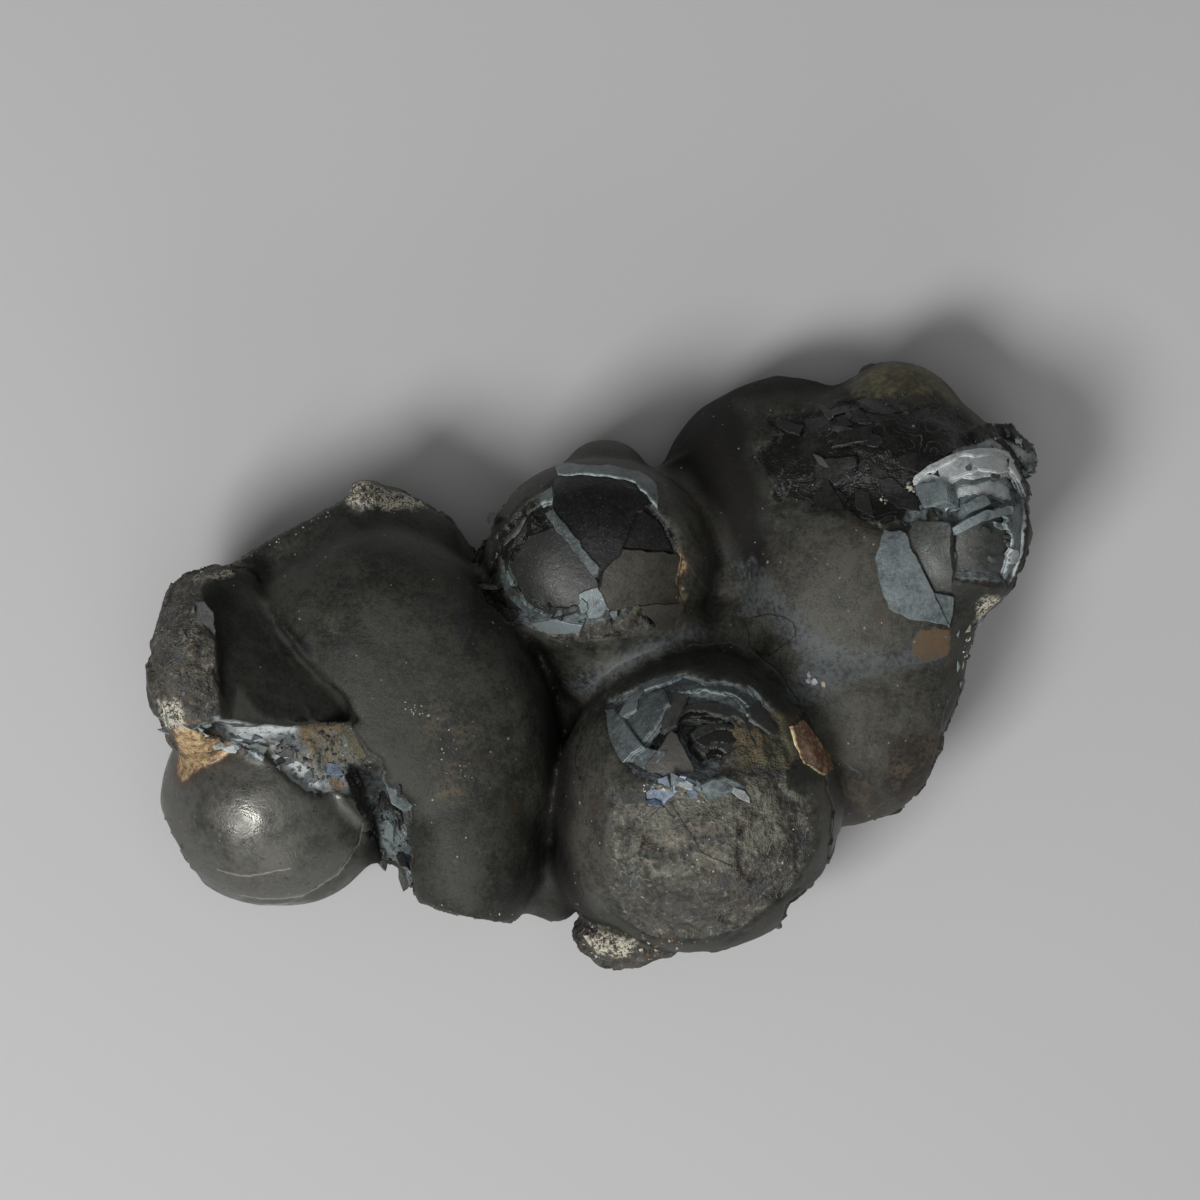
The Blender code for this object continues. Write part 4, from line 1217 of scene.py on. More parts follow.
    def layers(self, colour):
        """Broken layers, in thin bands that follow the skin, and glossy flakes."""
        settings = self.settings
        band_inputs = {"X": self.depth * 2.6 + 0.7 * self.middling, "Y": 0.15 * self.broad}
        band_place = self.wire.node("CombineXYZ", None, band_inputs)
        bands = self.wire.node("TexNoise", None, {"Vector": band_place, "Scale": 1.6, "Detail": 4.0}) - 0.5
        layer = mix((bands + 0.7 * self.fine).over(-0.3, 0.3), settings.layer_dark, settings.layer_light)
        # Whitest layers, partly painted highlight.
        white = self.patch("white", 1.0) * (bands + 0.8 * self.fine + 0.3).over(-0.1, 0.35)
        layer = mix(white, layer, settings.layer_white_highlight)
        colour = mix(self.fresh, colour, layer)
        flake_tone = (bands + 0.5 * self.middling).over(-0.05, 0.35)
        flake = mix(flake_tone, settings.flake_dark, settings.flake_light)
        flake = mix(self.ledges * 0.6, flake, settings.ledge)
        return mix(self.flake, colour, flake)

    def broken_rock(self, colour):
        """Brown grey matrix with light grains and rust, and the pale crust of the front face."""
        settings = self.settings
        middling, fine, dust = self.middling, self.fine, self.dust
        rock = mix(self.speckle.over(-0.35, 0.35), settings.matrix_dark, settings.matrix_light)
        rock = mix((self.other_stain + 0.5 * fine).over(0.02, 0.22), rock, settings.matrix_blue)
        crust = self.patch("crust", 1.6, 1.6) * self.bared
        crust = crust * (self.stain + 0.8 * middling + 0.4 * fine).over(-0.16, 0.12)
        crust_tone = (0.4 * dust + 0.8 * fine + middling).over(-0.3, 0.4)
        rock = mix(crust, rock, mix(crust_tone, settings.crust_dark, settings.crust_light))
        grains = (dust + 0.8 * fine + 0.4 * middling).over(0.20, 0.32)
        rock = mix(grains * 0.7, rock, settings.matrix_grain)
        rock = mix((-fine - 0.6 * middling).over(0.16, 0.30) * 0.4, rock, settings.matrix_dark)
        rust_spots = (grain(self.wire, self.where, 1.7) + 0.3 * fine).over(0.15, 0.24)
        rock = mix(rust_spots * 0.45 * self.matrix, rock, settings.rust)
        rock = mix(self.ledges * 0.5, rock, settings.matrix_grain)
        return mix(self.matrix_share, colour, rock)

    def crusts(self, colour):
        """Ochre, orange, olive, honeycomb and cream crusts."""
        settings = self.settings
        middling, fine, dust = self.middling, self.fine, self.dust
        near_ochre = (stored(self.wire, "ochre") + 1.4 * self.ragged).over(-1.6, 0.4)
        colour = mix(near_ochre * self.upper * 0.5, colour, settings.rust)
        ochre = mix((fine + 0.8 * dust).over(-0.3, 0.2), settings.ochre_dark, settings.ochre)
        colour = mix(self.patch("ochre", 0.7) * self.upper * (0.8 + fine), colour, ochre)
        orange = mix(self.speckle.over(-0.2, 0.3), settings.orange, settings.tan)
        colour = mix(self.patch("orange", 0.4, 0.5) * (0.75 + fine) * self.upper, colour, orange)
        olive = mix(self.speckle.over(-0.3, 0.3), settings.olive_dark, settings.olive)
        colour = mix(self.patch("olive", 1.4, 1.4) * self.upper * (0.85 + 0.8 * middling), colour, olive)
        cell_inputs = {"Vector": self.where, "Scale": 1.0 / (0.62 * MM)}
        cells = self.wire.node("TexVoronoi", {"feature": "DISTANCE_TO_EDGE"}, cell_inputs)
        honeycomb = self.patch("honeycomb", 1.2) * self.upper * (0.35 + 0.65 * cells.over(0.02, 0.22))
        gold = mix((self.broad + middling).over(-0.3, 0.3), settings.honeycomb_green, settings.honeycomb)
        colour = mix(honeycomb, colour, gold)
        return mix(self.cream, colour, settings.cream)

    def specks(self):
        """A mask of specks of light dust, of two sizes."""
        spots = 0.0
        for size, share, width in ((1.1, 0.62, 0.34), (2.8, 0.72, 0.34)):
            speck_inputs = {"Vector": self.where, "Scale": 1.0 / (size * MM)}
            distance = self.wire.node("TexVoronoi", None, speck_inputs)
            chance = self.wire.node("TexVoronoi", None, speck_inputs, output=1)
            radius = (self.wire.node("SeparateColor", None, {"Color": chance}) - share) * width
            spots = self.wire.math("MAXIMUM", (radius + 0.10 * self.fine - distance).over(-0.02, 0.02), spots)
        return spots * (self.stain + 0.5 * self.middling).over(-0.20, 0.02)

    def marks(self, colour):
        """Specks, seams and cracks."""
        settings = self.settings
        colour = mix(self.specks() * 0.75, colour, settings.dust)
        seam = self.line("seam", 0.04, 0.16)
        colour = mix(seam * 0.6, colour, mix(self.ball, settings.bloom, settings.dust))
        return mix(self.line("crack", 0.03, 0.13) * 0.8, colour, settings.crack)

    def roughness(self):
        """Satin on the ball, glossy on flakes, dull on matrix, cream and the painted shadow."""
        rough = 0.58 + 0.25 * self.broad + 0.30 * self.fine + 0.20 * self.middling
        rough = rough + self.ball * (0.5 * self.middling + 0.3 * self.broad)
        rough = rough + 0.25 * self.shade + 0.16 * self.slope - 0.17 * self.ball
        return rough - 0.14 * self.flake + 0.12 * self.matrix_share + 0.25 * self.cream

    def metallic(self):
        # Less metallic under the painted shadow, so that it holds no glints.
        return 0.20 + 0.35 * self.ball - 0.15 * self.matrix_share - 0.2 * self.shade

    def relief(self):
        """The height that the bump reads. It is worked out three times over, so it reads few textures."""
        middling, fine, dust = self.middling, self.fine, self.dust
        coarse = stored(self.wire, "coarse")
        low = (0.045 + 0.12 * coarse) * fine + (0.035 + 0.07 * coarse) * dust + 0.07 * middling
        return low + coarse * coarse * (0.30 * fine + 0.12 * dust + 0.34 * middling)


def rock_material(settings):
    """The finish of the specimen, from its skin down to its matrix."""
    material, wire, shader = new_material("coronadite rock")
    surface = RockSurface(wire, settings)
    colour = surface.skin()
    for lay_over in (surface.skin_places, surface.layers, surface.broken_rock, surface.crusts, surface.marks):
        colour = lay_over(colour)
    feed(wire, shader, "Base Color", colour)
    feed(wire, shader, "Roughness", surface.roughness())
    feed(wire, shader, "Metallic", surface.metallic())
    feed(wire, shader, "Specular IOR Level", 0.4)
    feed(wire, shader, "Normal", wire.node("Bump", None, {"Height": surface.relief(), "Distance": 1.0 * MM}))
    return material


def build_rock(voxel, triangles):
    """The broken rock, with what its material reads stored on it."""
    rock = make_whole_lobes(voxel)
    tree = skin_tree()
    add_rough_masses(rock)
    remesh(rock, voxel)
    trim(rock)
    remesh(rock, voxel)
    carve_forms(rock)
    remesh(rock, voxel)
    roughen(rock, tree)
    thin_out(rock, triangles)
    cut_rest_face(rock)
    store_fields(rock, tree)
    co = points_of(rock)
    co[:, :2] += MIDDLE_SHIFT
    move_points(rock, co)
    return rock


def down_on(tree, x, y):
    """Where a plumb line through a place in the plan meets a surface from above: (point, normal), or None."""
    spot, normal, _, _ = tree.ray_cast(Vector((x * MM, y * MM, TRIM_TOP * MM)), Vector((0.0, 0.0, -1.0)))
    return None if spot is None else (spot, normal)


def ragged(points, rng, step, amount):
    """An outline with its sides broken into short uneven pieces."""
    made = []
    for (ax, ay), (bx, by) in zip(points, points[1:] + points[:1]):
        pieces = max(1, round(math.hypot(bx - ax, by - ay) / step))
        for i in range(pieces):
            along = i / pieces
            sway = amount if i else CORNER_SWAY * amount
            made.append((ax + (bx - ax) * along + rng.uniform(-sway, sway),
                         ay + (by - ay) * along + rng.uniform(-sway, sway)))
    return tuple(made)


def arc(centre, radius, start, end, steps):
    """Points along an arc in the plan, in millimetres, from a centre and radius in pixels."""
    angles = [math.radians(start + (end - start) * i / steps) for i in range(steps + 1)]
    return plan([(centre[0] + radius * math.cos(a), centre[1] - radius * math.sin(a)) for a in angles])


def wobble(x, y, layer, rng):
    """How far a shell's inner edge wobbles at a place: its long wave, and the roughness on that."""
    wave = noise.noise(Vector((NEST_FINENESS * x, NEST_FINENESS * y, layer)))
    return NEST_WOBBLE * wave, rng.uniform(-NEST_ROUGHNESS, NEST_ROUGHNESS)


def nest_outline(nest, number, rng):
    """The outline of one shell of a nest: an outer arc, and an inner one that broke unevenly."""
    drop = (nest.radii[0] - nest.radii[1]) / nest.count
    centre = (nest.centre[0] + rng.uniform(-NEST_SHIFT, NEST_SHIFT),
              nest.centre[1] + rng.uniform(-NEST_SHIFT, NEST_SHIFT))
    outer = nest.radii[0] - drop * number + (NEST_OVERLAP * drop if number else 0.0)
    inner = nest.radii[0] - drop * (number + 1) + rng.uniform(-0.6, 0.5) * drop
    start = nest.angles[0] + rng.uniform(-NEST_SWING, NEST_SWING)
    end = nest.angles[1] + rng.uniform(-NEST_SWING, NEST_SWING)
    steps = max(6, round((end - start) / NEST_STEP))
    inward = []
    for x, y in arc(centre, inner, end, start, 3 * steps):
        wave_x, rough_x = wobble(x, y, 3.0 * number, rng)
        wave_y, rough_y = wobble(x, y, 3.0 * number + 50.0, rng)
        inward.append((x + wave_x + rough_x, y + wave_y + rough_y))
    return arc(centre, outer, start, end, steps) + tuple(inward)


def strew(rng, outline):
    """A random place inside an outline in the plan."""
    low = np.min(outline, axis=0)
    high = np.max(outline, axis=0)
    while True:
        place = (rng.uniform(low[0], high[0]), rng.uniform(low[1], high[1]))
        if inside_distance(np.array([place]), outline)[0] > 0.0:
            return place


def splinter_outline(rng, middle, size, slim, turn):
    """The outline of one splinter: a few corners, drawn out along a direction, with uneven sides."""
    corners = rng.choice((4, 5, 6))
    start = rng.uniform(0.0, math.tau)
    outline = []
    for i in range(corners):
        angle = start + math.tau * (i + rng.uniform(-0.28, 0.28)) / corners
        reach = size * rng.uniform(0.55, 1.1)
        along = reach * math.cos(angle)
        across = slim * reach * math.sin(angle)
        outline.append((middle[0] + along * math.cos(turn) - across * math.sin(turn),
                        middle[1] + along * math.sin(turn) + across * math.cos(turn)))
    return ragged(tuple(outline), rng, *SPLINTER_RIM)


def new_pieces():
    """An empty mesh for loose pieces, with each point's depth under its piece's top and the piece's tone."""
    bm = bmesh.new()
    bm.verts.layers.float.new("under")
    bm.verts.layers.float.new("tone")
    return bm


def slab(bm, outline, finish, height_at, thickness, cell, bevel):
    """A closed plate over an outline, curved to a height function and thick along its mean normal."""
    low = np.min(outline, axis=0)
    high = np.max(outline, axis=0)
    part = new_pieces()
    under = part.verts.layers.float["under"]
    tone = part.verts.layers.float["tone"]
    part.faces.new([part.verts.new((x, y, 0.0)) for x, y in outline])
    for axis in (0, 1):
        normal = Vector((1.0 - axis, float(axis), 0.0))
        for i in range(1, int((high[axis] - low[axis]) / cell) + 1):
            place = normal * (low[axis] + i * cell)
            bmesh.ops.bisect_plane(part, geom=part.verts[:] + part.edges[:] + part.faces[:], plane_co=place,
                                   plane_no=normal, dist=1e-4)
    for vertex in part.verts:
        vertex.co = height_at(vertex.co.x, vertex.co.y)
    bmesh.ops.triangulate(part, faces=part.faces)
    bmesh.ops.recalc_face_normals(part, faces=part.faces)
    facing = sum((face.normal * face.calc_area() for face in part.faces), Vector())
    if facing.z < 0.0:
        bmesh.ops.reverse_faces(part, faces=part.faces)
        facing.negate()
    rim = [edge for edge in part.edges if edge.is_boundary]
    extruded = bmesh.ops.extrude_face_region(part, geom=part.faces[:])
    lower = [v for v in extruded["geom"] if isinstance(v, bmesh.types.BMVert)]
    bmesh.ops.translate(part, verts=lower, vec=-facing.normalized() * thickness * MM)
    for vertex in lower:
        vertex[under] = thickness
    bmesh.ops.recalc_face_normals(part, faces=part.faces)
    bmesh.ops.bevel(part, geom=[edge for edge in rim if edge.is_valid], offset=bevel * MM,
                    offset_type="OFFSET", affect="EDGES", segments=1, profile=0.5, material=-1)
    for face in part.faces:
        face.material_index = FINISH_NUMBERS[finish]
        face.smooth = True
    own_tone = 1.6 * noise.noise(Vector((outline[0][0] * 1.37, outline[0][1] * 1.91, thickness)))
    for vertex in part.verts:
        vertex[tone] = own_tone
    mesh = bpy.data.meshes.new("part")
    part.to_mesh(mesh)
    part.free()
    bm.from_mesh(mesh)
    bpy.data.meshes.remove(mesh)


def on_skin(tree, depth, tilt=(0.0, 0.0), middle=(0.0, 0.0)):
    """A height function: a depth under the whole lobes' skin, with a tilt about the middle of a plate."""

    def height_at(x, y):
        found = down_on(tree, x, y)
        if not found:
            found = tree.find_nearest(Vector((x * MM, y * MM, SEARCH_HEIGHT)))[:2]
        spot, normal = found
        lift = (x - middle[0]) * tilt[0] + (y - middle[1]) * tilt[1]
        return spot - normal * depth * MM + Vector((0.0, 0.0, lift * MM))

    return height_at


def on_rock(tree, outline, lift, tilt):
    """A height function: a flat plate that lies on the lower part of the rock under it, raised by a lift."""
    middle = np.mean(outline, axis=0)
    found = [down_on(tree, *place) for place in (*outline, middle)]
    heights = sorted(spot.z for spot, _ in filter(None, found))
    if not heights:
        raise RuntimeError(f"a chip at {middle} lies beside the rock")
    level = heights[len(heights) // 4] + lift * MM

    def height_at(x, y):
        rise = (x - middle[0]) * tilt[0] + (y - middle[1]) * tilt[1]
        return Vector((x * MM, y * MM, level + rise * MM))

    return height_at


def add_crumb(bm, field, found, rng):
    """An angular crumb on the rock: a small sphere with its corners pushed in and out."""
    spot, normal = found
    size = rng.uniform(*field.sizes) * rng.uniform(0.6, 1.0) * MM
    made = bmesh.ops.create_icosphere(bm, subdivisions=1, radius=0.5 * size)
    for vertex in made["verts"]:
        vertex.co *= rng.uniform(0.7, 1.25)
    stretch = Matrix.Diagonal((rng.uniform(0.8, 1.5), rng.uniform(0.7, 1.1), 0.7, 1.0))
    turn = Matrix.Rotation(rng.uniform(0.0, math.tau), 4, normal)
    bmesh.ops.transform(bm, matrix=Matrix.Translation(spot) @ turn @ stretch, verts=made["verts"])
    finish = rng.choice(field.finishes)
    for face in {face for vertex in made["verts"] for face in vertex.link_faces}:
        face.material_index = FINISH_NUMBERS[finish]


def finish_piece(name, bm, context):
    """Turns a mesh of loose parts into a piece that rides with the specimen."""
    obj = add_object(name, bm)
    co = points_of(obj)
    co[:, :2] += MIDDLE_SHIFT
    move_points(obj, co)
    obj.data.set_sharp_from_angle(angle=SHARP_ANGLE)
    for finish in FINISHES:
        obj.data.materials.append(finish_material(finish, context.scene.finish_settings))
    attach(obj, BODY)


def finish_material(finish, settings):
    """The surface of loose shells and chips: fine grain, and thin bands where the layers are cut across."""
    name = "broken " + finish
    if name in bpy.data.materials:
        return bpy.data.materials[name]
    material, wire, shader = new_material(name)
    look = FINISHES[finish]
    dark = getattr(settings, finish + "_dark")
    light = getattr(settings, finish + "_light")
    edge_light = (*[min(1.0, look.gleam * part) for part in light[:3]], 1.0)
    where = places(wire)
    middling = grain(wire, where, 2.2)
    fine = grain(wire, where, 0.6)
    dust = grain(wire, where, 0.25, detail=1.0)
    under = stored(wire, "under")
    tread = mix((middling + 0.9 * fine + 0.5 * stored(wire, "tone")).over(-0.45, 0.50), dark, light)
    band_place = wire.node("CombineXYZ", None, {"X": under * 1.8 + 0.3 * middling})
    bands = wire.node("TexNoise", None, {"Vector": band_place, "Scale": 2.2, "Detail": 3.0}) - 0.5
    riser = (under + 0.05 * fine).over(0.03, 0.12)
    cut = mix((bands + 0.5 * fine).over(-0.2, 0.25), dark, edge_light)
    colour = mix(riser, tread, cut)
    colour = mix(dust.over(0.14, 0.22) * 0.35, colour, edge_light)
    colour = mix((-middling - 0.6 * fine).over(0.16, 0.34) * 0.6, colour, dark)
    feed(wire, shader, "Base Color", colour)
    feed(wire, shader, "Roughness", look.roughness + 0.3 * fine + 0.1 * middling)
    feed(wire, shader, "Metallic", look.metallic)
    relief = (0.05 + 0.06 * riser) * fine + 0.03 * dust + 0.08 * middling
    feed(wire, shader, "Normal", wire.node("Bump", None, {"Height": relief, "Distance": 1.0 * MM}))
    return material


def colour_property(name, description, default):
    return bpy.props.FloatVectorProperty(
        name=name, description=description, subtype="COLOR", size=4, min=0.0, max=1.0, default=(*default, 1.0)
    )


def power_property(name, description, default):
    return bpy.props.FloatProperty(
        name=name, description=description, default=default, min=0.0, unit="POWER"
    )


class RockSettings(bpy.types.PropertyGroup):
    """Mesh size and colours of the rock."""

    voxel: bpy.props.FloatProperty(
        name="Grid", description="Cell of the grid that the rock is remeshed on, in millimetres",
        default=0.45, min=0.3, max=2.0,
    )
    triangles: bpy.props.IntProperty(
        name="Triangles", description="Most triangles of the finished rock", default=190000,
        min=20000, max=199000,
    )
    skin_dark: colour_property("Dark skin", "Skin in its darkest patches", (0.0180, 0.0192, 0.0148))
    skin_light: colour_property("Light skin", "Skin in its lightest patches", (0.0540, 0.0565, 0.0450))
    # Paler skin, partly painted light on rims and flanks.
    pale_lit_dark: colour_property("Dark pale skin", "Paler eastern skin, darkest", (0.040, 0.039, 0.032))
    pale_lit_light: colour_property("Light pale skin", "Paler eastern skin, lightest", (0.104, 0.101, 0.084))
    skin_brown: colour_property("Brown skin", "Smooth brown skin", (0.050, 0.040, 0.032))
    brown_dark: colour_property("Dark brown skin", "Smooth brown skin, darkest", (0.018, 0.014, 0.011))
    # Colours of the slope's painted shade.
    slope_shadow_dark: colour_property("Dark slope", "The smooth slope, darkest", (0.016, 0.016, 0.013))
    slope_shadow_light: colour_property("Light slope", "The smooth slope, lightest", (0.034, 0.033, 0.028))
    stain_warm: colour_property("Warm stain", "Faint warm stain on the skin", (0.062, 0.046, 0.030))
    stain_cold: colour_property("Cold stain", "Faint cold stain on the skin", (0.028, 0.033, 0.040))
    stain_pale: colour_property("Pale stain", "Faint pale stain on the skin", (0.085, 0.080, 0.066))
    # Colours of the painted shadow on the north lobe's flank, in the valley and at the crevice.
    painted_shadow_dark: colour_property("Dark painted shadow", "Flank of the north lobe, darkest", (0.0035, 0.003, 0.0025))
    painted_shadow_light: colour_property("Light painted shadow", "Flank of the north lobe, lightest", (0.011, 0.009, 0.007))
    ball: colour_property("West ball", "Satin skin of the west ball", (0.165, 0.163, 0.146))
    ball_dark: colour_property("Dark ball", "The west ball in its darker patches", (0.112, 0.110, 0.097))
    tan: colour_property("Tan", "Tan stains on the skin", (0.130, 0.100, 0.062))
    bloom: colour_property("Bloom", "Bluish bloom on the skin", (0.120, 0.140, 0.155))
    layer_dark: colour_property("Dark layer", "Darker fresh layers", (0.034, 0.038, 0.038))
    layer_light: colour_property("Light layer", "Lighter fresh layers", (0.22, 0.25, 0.255))
    # Whitest layers, partly painted highlight.
    layer_white_highlight: colour_property("White layer", "Whitest fresh layers", (0.52, 0.56, 0.56))
    flake_dark: colour_property("Dark flake", "Glossy broken flakes", (0.008, 0.008, 0.007))
    ledge: colour_property("Ledge", "Thin light edges of the broken flakes", (0.120, 0.128, 0.120))
    flake_light: colour_property("Light flake", "Edges of the broken flakes", (0.040, 0.042, 0.038))
    matrix_dark: colour_property("Dark matrix", "Matrix in its darker patches", (0.042, 0.038, 0.032))
    matrix_light: colour_property("Light matrix", "Matrix in its lighter patches", (0.128, 0.122, 0.100))
    matrix_blue: colour_property("Blue grey matrix", "Blue grey places in the matrix", (0.075, 0.080, 0.082))
    matrix_grain: colour_property("Matrix grain", "Light grains in the matrix", (0.34, 0.32, 0.265))
    crust_dark: colour_property("Dark crust", "Crust of the front face, darker", (0.112, 0.109, 0.088))
    crust_light: colour_property("Light crust", "Crust of the front face, lighter", (0.205, 0.199, 0.160))
    rust: colour_property("Rust", "Rust stains", (0.150, 0.062, 0.025))
    ochre: colour_property("Ochre", "Ochre crust", (0.66, 0.50, 0.28))
    ochre_dark: colour_property("Dark ochre", "Ochre crust, darker", (0.30, 0.15, 0.055))
    orange: colour_property("Orange", "Orange brown crust", (0.20, 0.115, 0.055))
    olive: colour_property("Olive", "Olive stains", (0.180, 0.160, 0.090))
    olive_dark: colour_property("Dark olive", "Olive stains, darker", (0.060, 0.055, 0.030))
    honeycomb: colour_property("Honeycomb", "Golden honeycomb crust", (0.180, 0.128, 0.064))
    honeycomb_green: colour_property("Green honeycomb", "Honeycomb crust, greener", (0.085, 0.090, 0.056))
    cream: colour_property("Cream", "Cream crumbs", (0.66, 0.62, 0.50))
    dust: colour_property("Dust", "Specks of light dust", (0.42, 0.40, 0.34))
    crack: colour_property("Crack", "Inside of thin cracks", (0.008, 0.008, 0.007))


class FinishSettings(bpy.types.PropertyGroup):
    """A dark and a light colour for each finish of the loose pieces."""

    __annotations__ = {
        f"{finish}_{part}": colour_property(
            f"{finish.capitalize()}, {part}", f"{look.description}, {part}est", getattr(look, part)
        )
        for finish, look in FINISHES.items()
        for part in ("dark", "light")
    }


class StageSettings(bpy.types.PropertyGroup):
    """Floor and light."""

    floor_colour: colour_property("Floor", "Colour of the plain floor", (0.62, 0.62, 0.62))
    key_power: power_property("Key light", "Power of the large soft light", 3.4)
    fill_power: power_property("Fill light", "Power of the broad light above the camera", 1.1)
    front_power: power_property("Front light", "Power of the weak light from the front", 0.8)
    world_strength: bpy.props.FloatProperty(
        name="Room light", description="Strength of the even light from all round", default=0.14, min=0.0
    )


class SPECIMEN_OT_rock(bpy.types.Operator):
    """Build the rock with its lobes, broken shells and splinters"""

    bl_idname = "specimen.rock"
    bl_label = "Rock"

    def execute(self, context):
        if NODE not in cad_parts:
            raise RuntimeError(f"the packed frame has no node {NODE}")
        settings = context.scene.rock_settings
        voxel = settings.voxel
        rock = build_rock(voxel, settings.triangles)
        rock.data.shade_smooth()
        rock.data.materials.append(rock_material(settings))
        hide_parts(NODE)
        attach(rock, BODY)
        return {"FINISHED"}


class SPECIMEN_OT_shells(bpy.types.Operator):
    """Build the nests of curved shells that step down into the broken lobes"""

    bl_idname = "specimen.shells"
    bl_label = "Shell nests"

    def execute(self, context):
        tree = skin_tree()
        for name, nests in NESTS.items():
            bm = new_pieces()
            for nest in nests:
                rng = random.Random(nest.seed)
                for number in range(nest.count):
                    outline = nest_outline(nest, number, rng)
                    share = number / max(1, nest.count - 1)
                    depth = nest.depths[0] + (nest.depths[1] - nest.depths[0]) * share
                    finish = rng.choice(nest.finishes)
                    slab(bm, outline, finish, on_skin(tree, depth), NEST_THICKNESS, *PLATE_MESH)
            finish_piece(name, bm, context)
        return {"FINISHED"}


class SPECIMEN_OT_plates(bpy.types.Operator):
    """Build the broken plates of shell that still lie in their places"""

    bl_idname = "specimen.plates"
    bl_label = "Plates"

    def execute(self, context):
        tree = skin_tree()
        for seed, (name, plates) in enumerate(PLATES.items(), 100):
            rng = random.Random(seed)
            bm = new_pieces()
            for plate in plates:
                outline = ragged(plan(plate.outline), rng, *PLATE_RIM)
                height_at = on_skin(tree, plate.depth, plate.tilt, np.mean(outline, axis=0))
                slab(bm, outline, plate.finish, height_at, plate.thickness, *PLATE_MESH)
            finish_piece(name, bm, context)
        return {"FINISHED"}


class SPECIMEN_OT_splinters(bpy.types.Operator):
    """Strew flat splinters over the broken places"""

    bl_idname = "specimen.splinters"
    bl_label = "Splinters"

    def execute(self, context):
        grounds = {"skin": skin_tree(), "rock": rock_tree()}
        for name, fields in STREWN.items():
            bm = new_pieces()
            for field in fields:
                rng = random.Random(field.seed)
                bounds = plan(field.outline)
                for _ in range(field.count):
                    x, y = strew(rng, bounds)
                    found = down_on(grounds[field.ground], x, y)
                    if not found or found[1].z < LEVEL_GROUND:
                        continue
                    turn = math.radians(field.turn[0] + rng.uniform(-1.0, 1.0) * field.turn[1])
                    outline = splinter_outline(rng, (x, y), rng.uniform(*field.sizes), field.slim, turn)
                    tilt = (rng.uniform(-1.0, 1.0) * field.tilt, rng.uniform(-1.0, 1.0) * field.tilt)
                    depth = rng.uniform(*field.depths)
                    if field.ground == "skin":
                        height_at = on_skin(grounds["skin"], depth, tilt, (x, y))
                    else:
                        height_at = on_rock(grounds["rock"], outline, -depth, tilt)
                    finish = rng.choice(field.finishes)
                    slab(bm, outline, finish, height_at, field.thickness, *SPLINTER_MESH)
            finish_piece(name, bm, context)
        return {"FINISHED"}


class SPECIMEN_OT_chips(bpy.types.Operator):
    """Lay flat chips on the broken rock"""

    bl_idname = "specimen.chips"
    bl_label = "Chips"

    def execute(self, context):
        tree = rock_tree()
        for seed, (name, chips) in enumerate(CHIPS.items(), 200):
            rng = random.Random(seed)
            bm = new_pieces()
            for chip in chips:
                outline = ragged(plan(chip.outline), rng, *CHIP_RIM)
                height_at = on_rock(tree, outline, chip.depth, chip.tilt)
                slab(bm, outline, chip.finish, height_at, chip.thickness, *PLATE_MESH)
            finish_piece(name, bm, context)
        return {"FINISHED"}


class SPECIMEN_OT_crumbs(bpy.types.Operator):
    """Scatter angular crumbs on the broken rock"""

    bl_idname = "specimen.crumbs"
    bl_label = "Crumbs"

    def execute(self, context):
        tree = rock_tree()
        for name, fields in CRUMBS.items():
            bm = new_pieces()
            for field in fields:
                rng = random.Random(field.seed)
                bounds = plan(field.outline)
                for _ in range(field.count):
                    found = down_on(tree, *strew(rng, bounds))
                    if found:
                        add_crumb(bm, field, found, rng)
            finish_piece(name, bm, context)
        return {"FINISHED"}


def add_light(name, power):
    """A square soft light at its place in the table, turned to the specimen."""
    location, width = LIGHTS[name]
    light = bpy.data.lights.new(name, "AREA")
    light.size = width
    light.energy = power
    obj = bpy.data.objects.new(name, light)
    bpy.context.scene.collection.objects.link(obj)
    obj.location = location
    obj.rotation_euler = (Vector(AIM) - Vector(location)).to_track_quat("-Z", "Y").to_euler()


def add_floor(colour):
    bm = bmesh.new()
    bmesh.ops.create_grid(bm, x_segments=1, y_segments=1, size=FLOOR_HALF_WIDTH)
    floor = add_object("floor", bm)
    material, wire, shader = new_material("pale floor")
    feed(wire, shader, "Base Color", colour)
    feed(wire, shader, "Roughness", FLOOR_ROUGHNESS)
    floor.data.materials.append(material)


def add_room(strength):
    """Even light from all round."""
    world = bpy.data.worlds.new("room")
    world.use_nodes = True
    background = world.node_tree.nodes["Background"]
    background.inputs["Color"].default_value = (1.0, 1.0, 1.0, 1.0)
    background.inputs["Strength"].default_value = strength
    bpy.context.scene.world = world


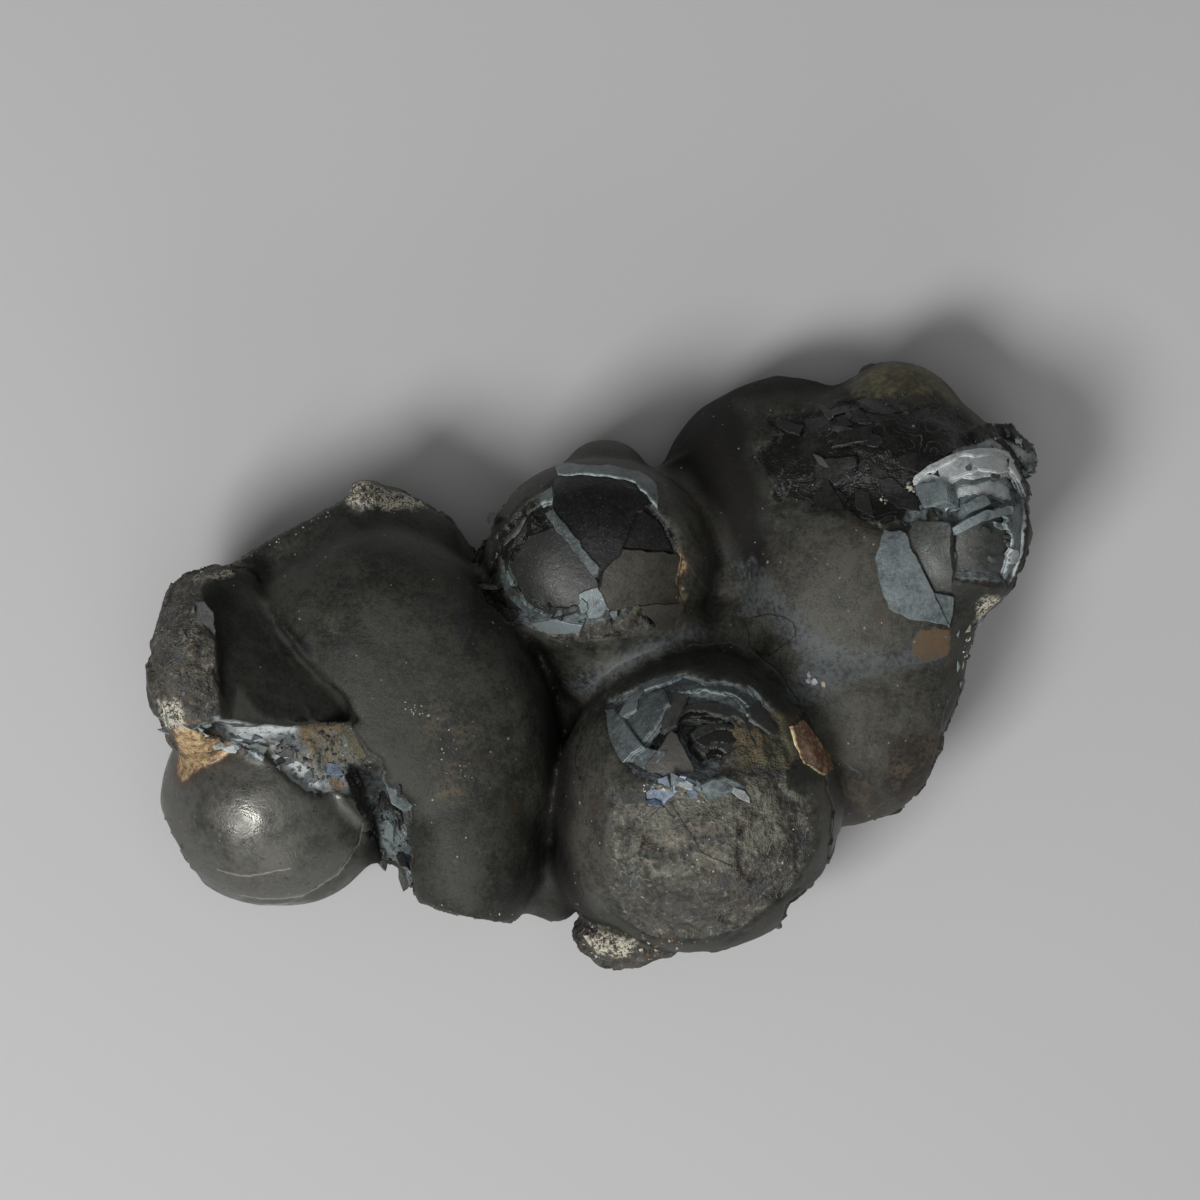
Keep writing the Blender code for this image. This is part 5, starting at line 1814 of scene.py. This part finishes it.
def add_camera():
    """A long lens that looks straight down and takes in the photograph's width."""
    lens = bpy.data.cameras.new("camera")
    lens.sensor_width = SENSOR
    lens.lens = LENS
    camera = bpy.data.objects.new("camera", lens)
    bpy.context.scene.collection.objects.link(camera)
    distance = FRAME_WIDTH * LENS / SENSOR
    camera.location = (*CAMERA_SHIFT, FRAME_HEIGHT_OVER_FLOOR + distance)
    bpy.context.scene.camera = camera


class SPECIMEN_OT_stage(bpy.types.Operator):
    """Build the floor, the lights and the camera that looks down on the specimen"""

    bl_idname = "specimen.stage"
    bl_label = "Stage"

    def execute(self, context):
        settings = context.scene.stage_settings
        add_floor(settings.floor_colour)
        for name in LIGHTS:
            add_light(name, getattr(settings, name + "_power"))
        add_room(settings.world_strength)
        add_camera()
        context.scene.view_settings.view_transform = "Standard"
        return {"FINISHED"}


class SPECIMEN_PT_sidebar(bpy.types.Panel):
    """Lists the pieces of the specimen and their settings"""

    bl_idname = "SPECIMEN_PT_sidebar"
    bl_label = "Coronadite"
    bl_space_type = "VIEW_3D"
    bl_region_type = "UI"
    bl_category = "Coronadite"

    def draw(self, context):
        for operator in OPERATORS:
            self.layout.operator(operator.bl_idname)
        for group in SETTINGS:
            settings = getattr(context.scene, group)
            for name in settings.__annotations__:
                self.layout.prop(settings, name)


OPERATORS = (
    SPECIMEN_OT_rock, SPECIMEN_OT_shells, SPECIMEN_OT_plates, SPECIMEN_OT_splinters, SPECIMEN_OT_chips,
    SPECIMEN_OT_crumbs, SPECIMEN_OT_stage,
)
SETTINGS = {
    "rock_settings": RockSettings,
    "finish_settings": FinishSettings,
    "stage_settings": StageSettings,
}
CLASSES = (*SETTINGS.values(), *OPERATORS, SPECIMEN_PT_sidebar)


def register():
    for made in CLASSES:
        bpy.utils.register_class(made)
    for name, group in SETTINGS.items():
        setattr(bpy.types.Scene, name, bpy.props.PointerProperty(type=group))


def unregister():
    for name in SETTINGS:
        delattr(bpy.types.Scene, name)
    for made in reversed(CLASSES):
        bpy.utils.unregister_class(made)


def main():
    register()
    bpy.ops.specimen.rock()
    bpy.ops.specimen.shells()
    bpy.ops.specimen.plates()
    bpy.ops.specimen.splinters()
    bpy.ops.specimen.chips()
    bpy.ops.specimen.crumbs()
    bpy.ops.specimen.stage()


if __name__ == "__main__":
    main()
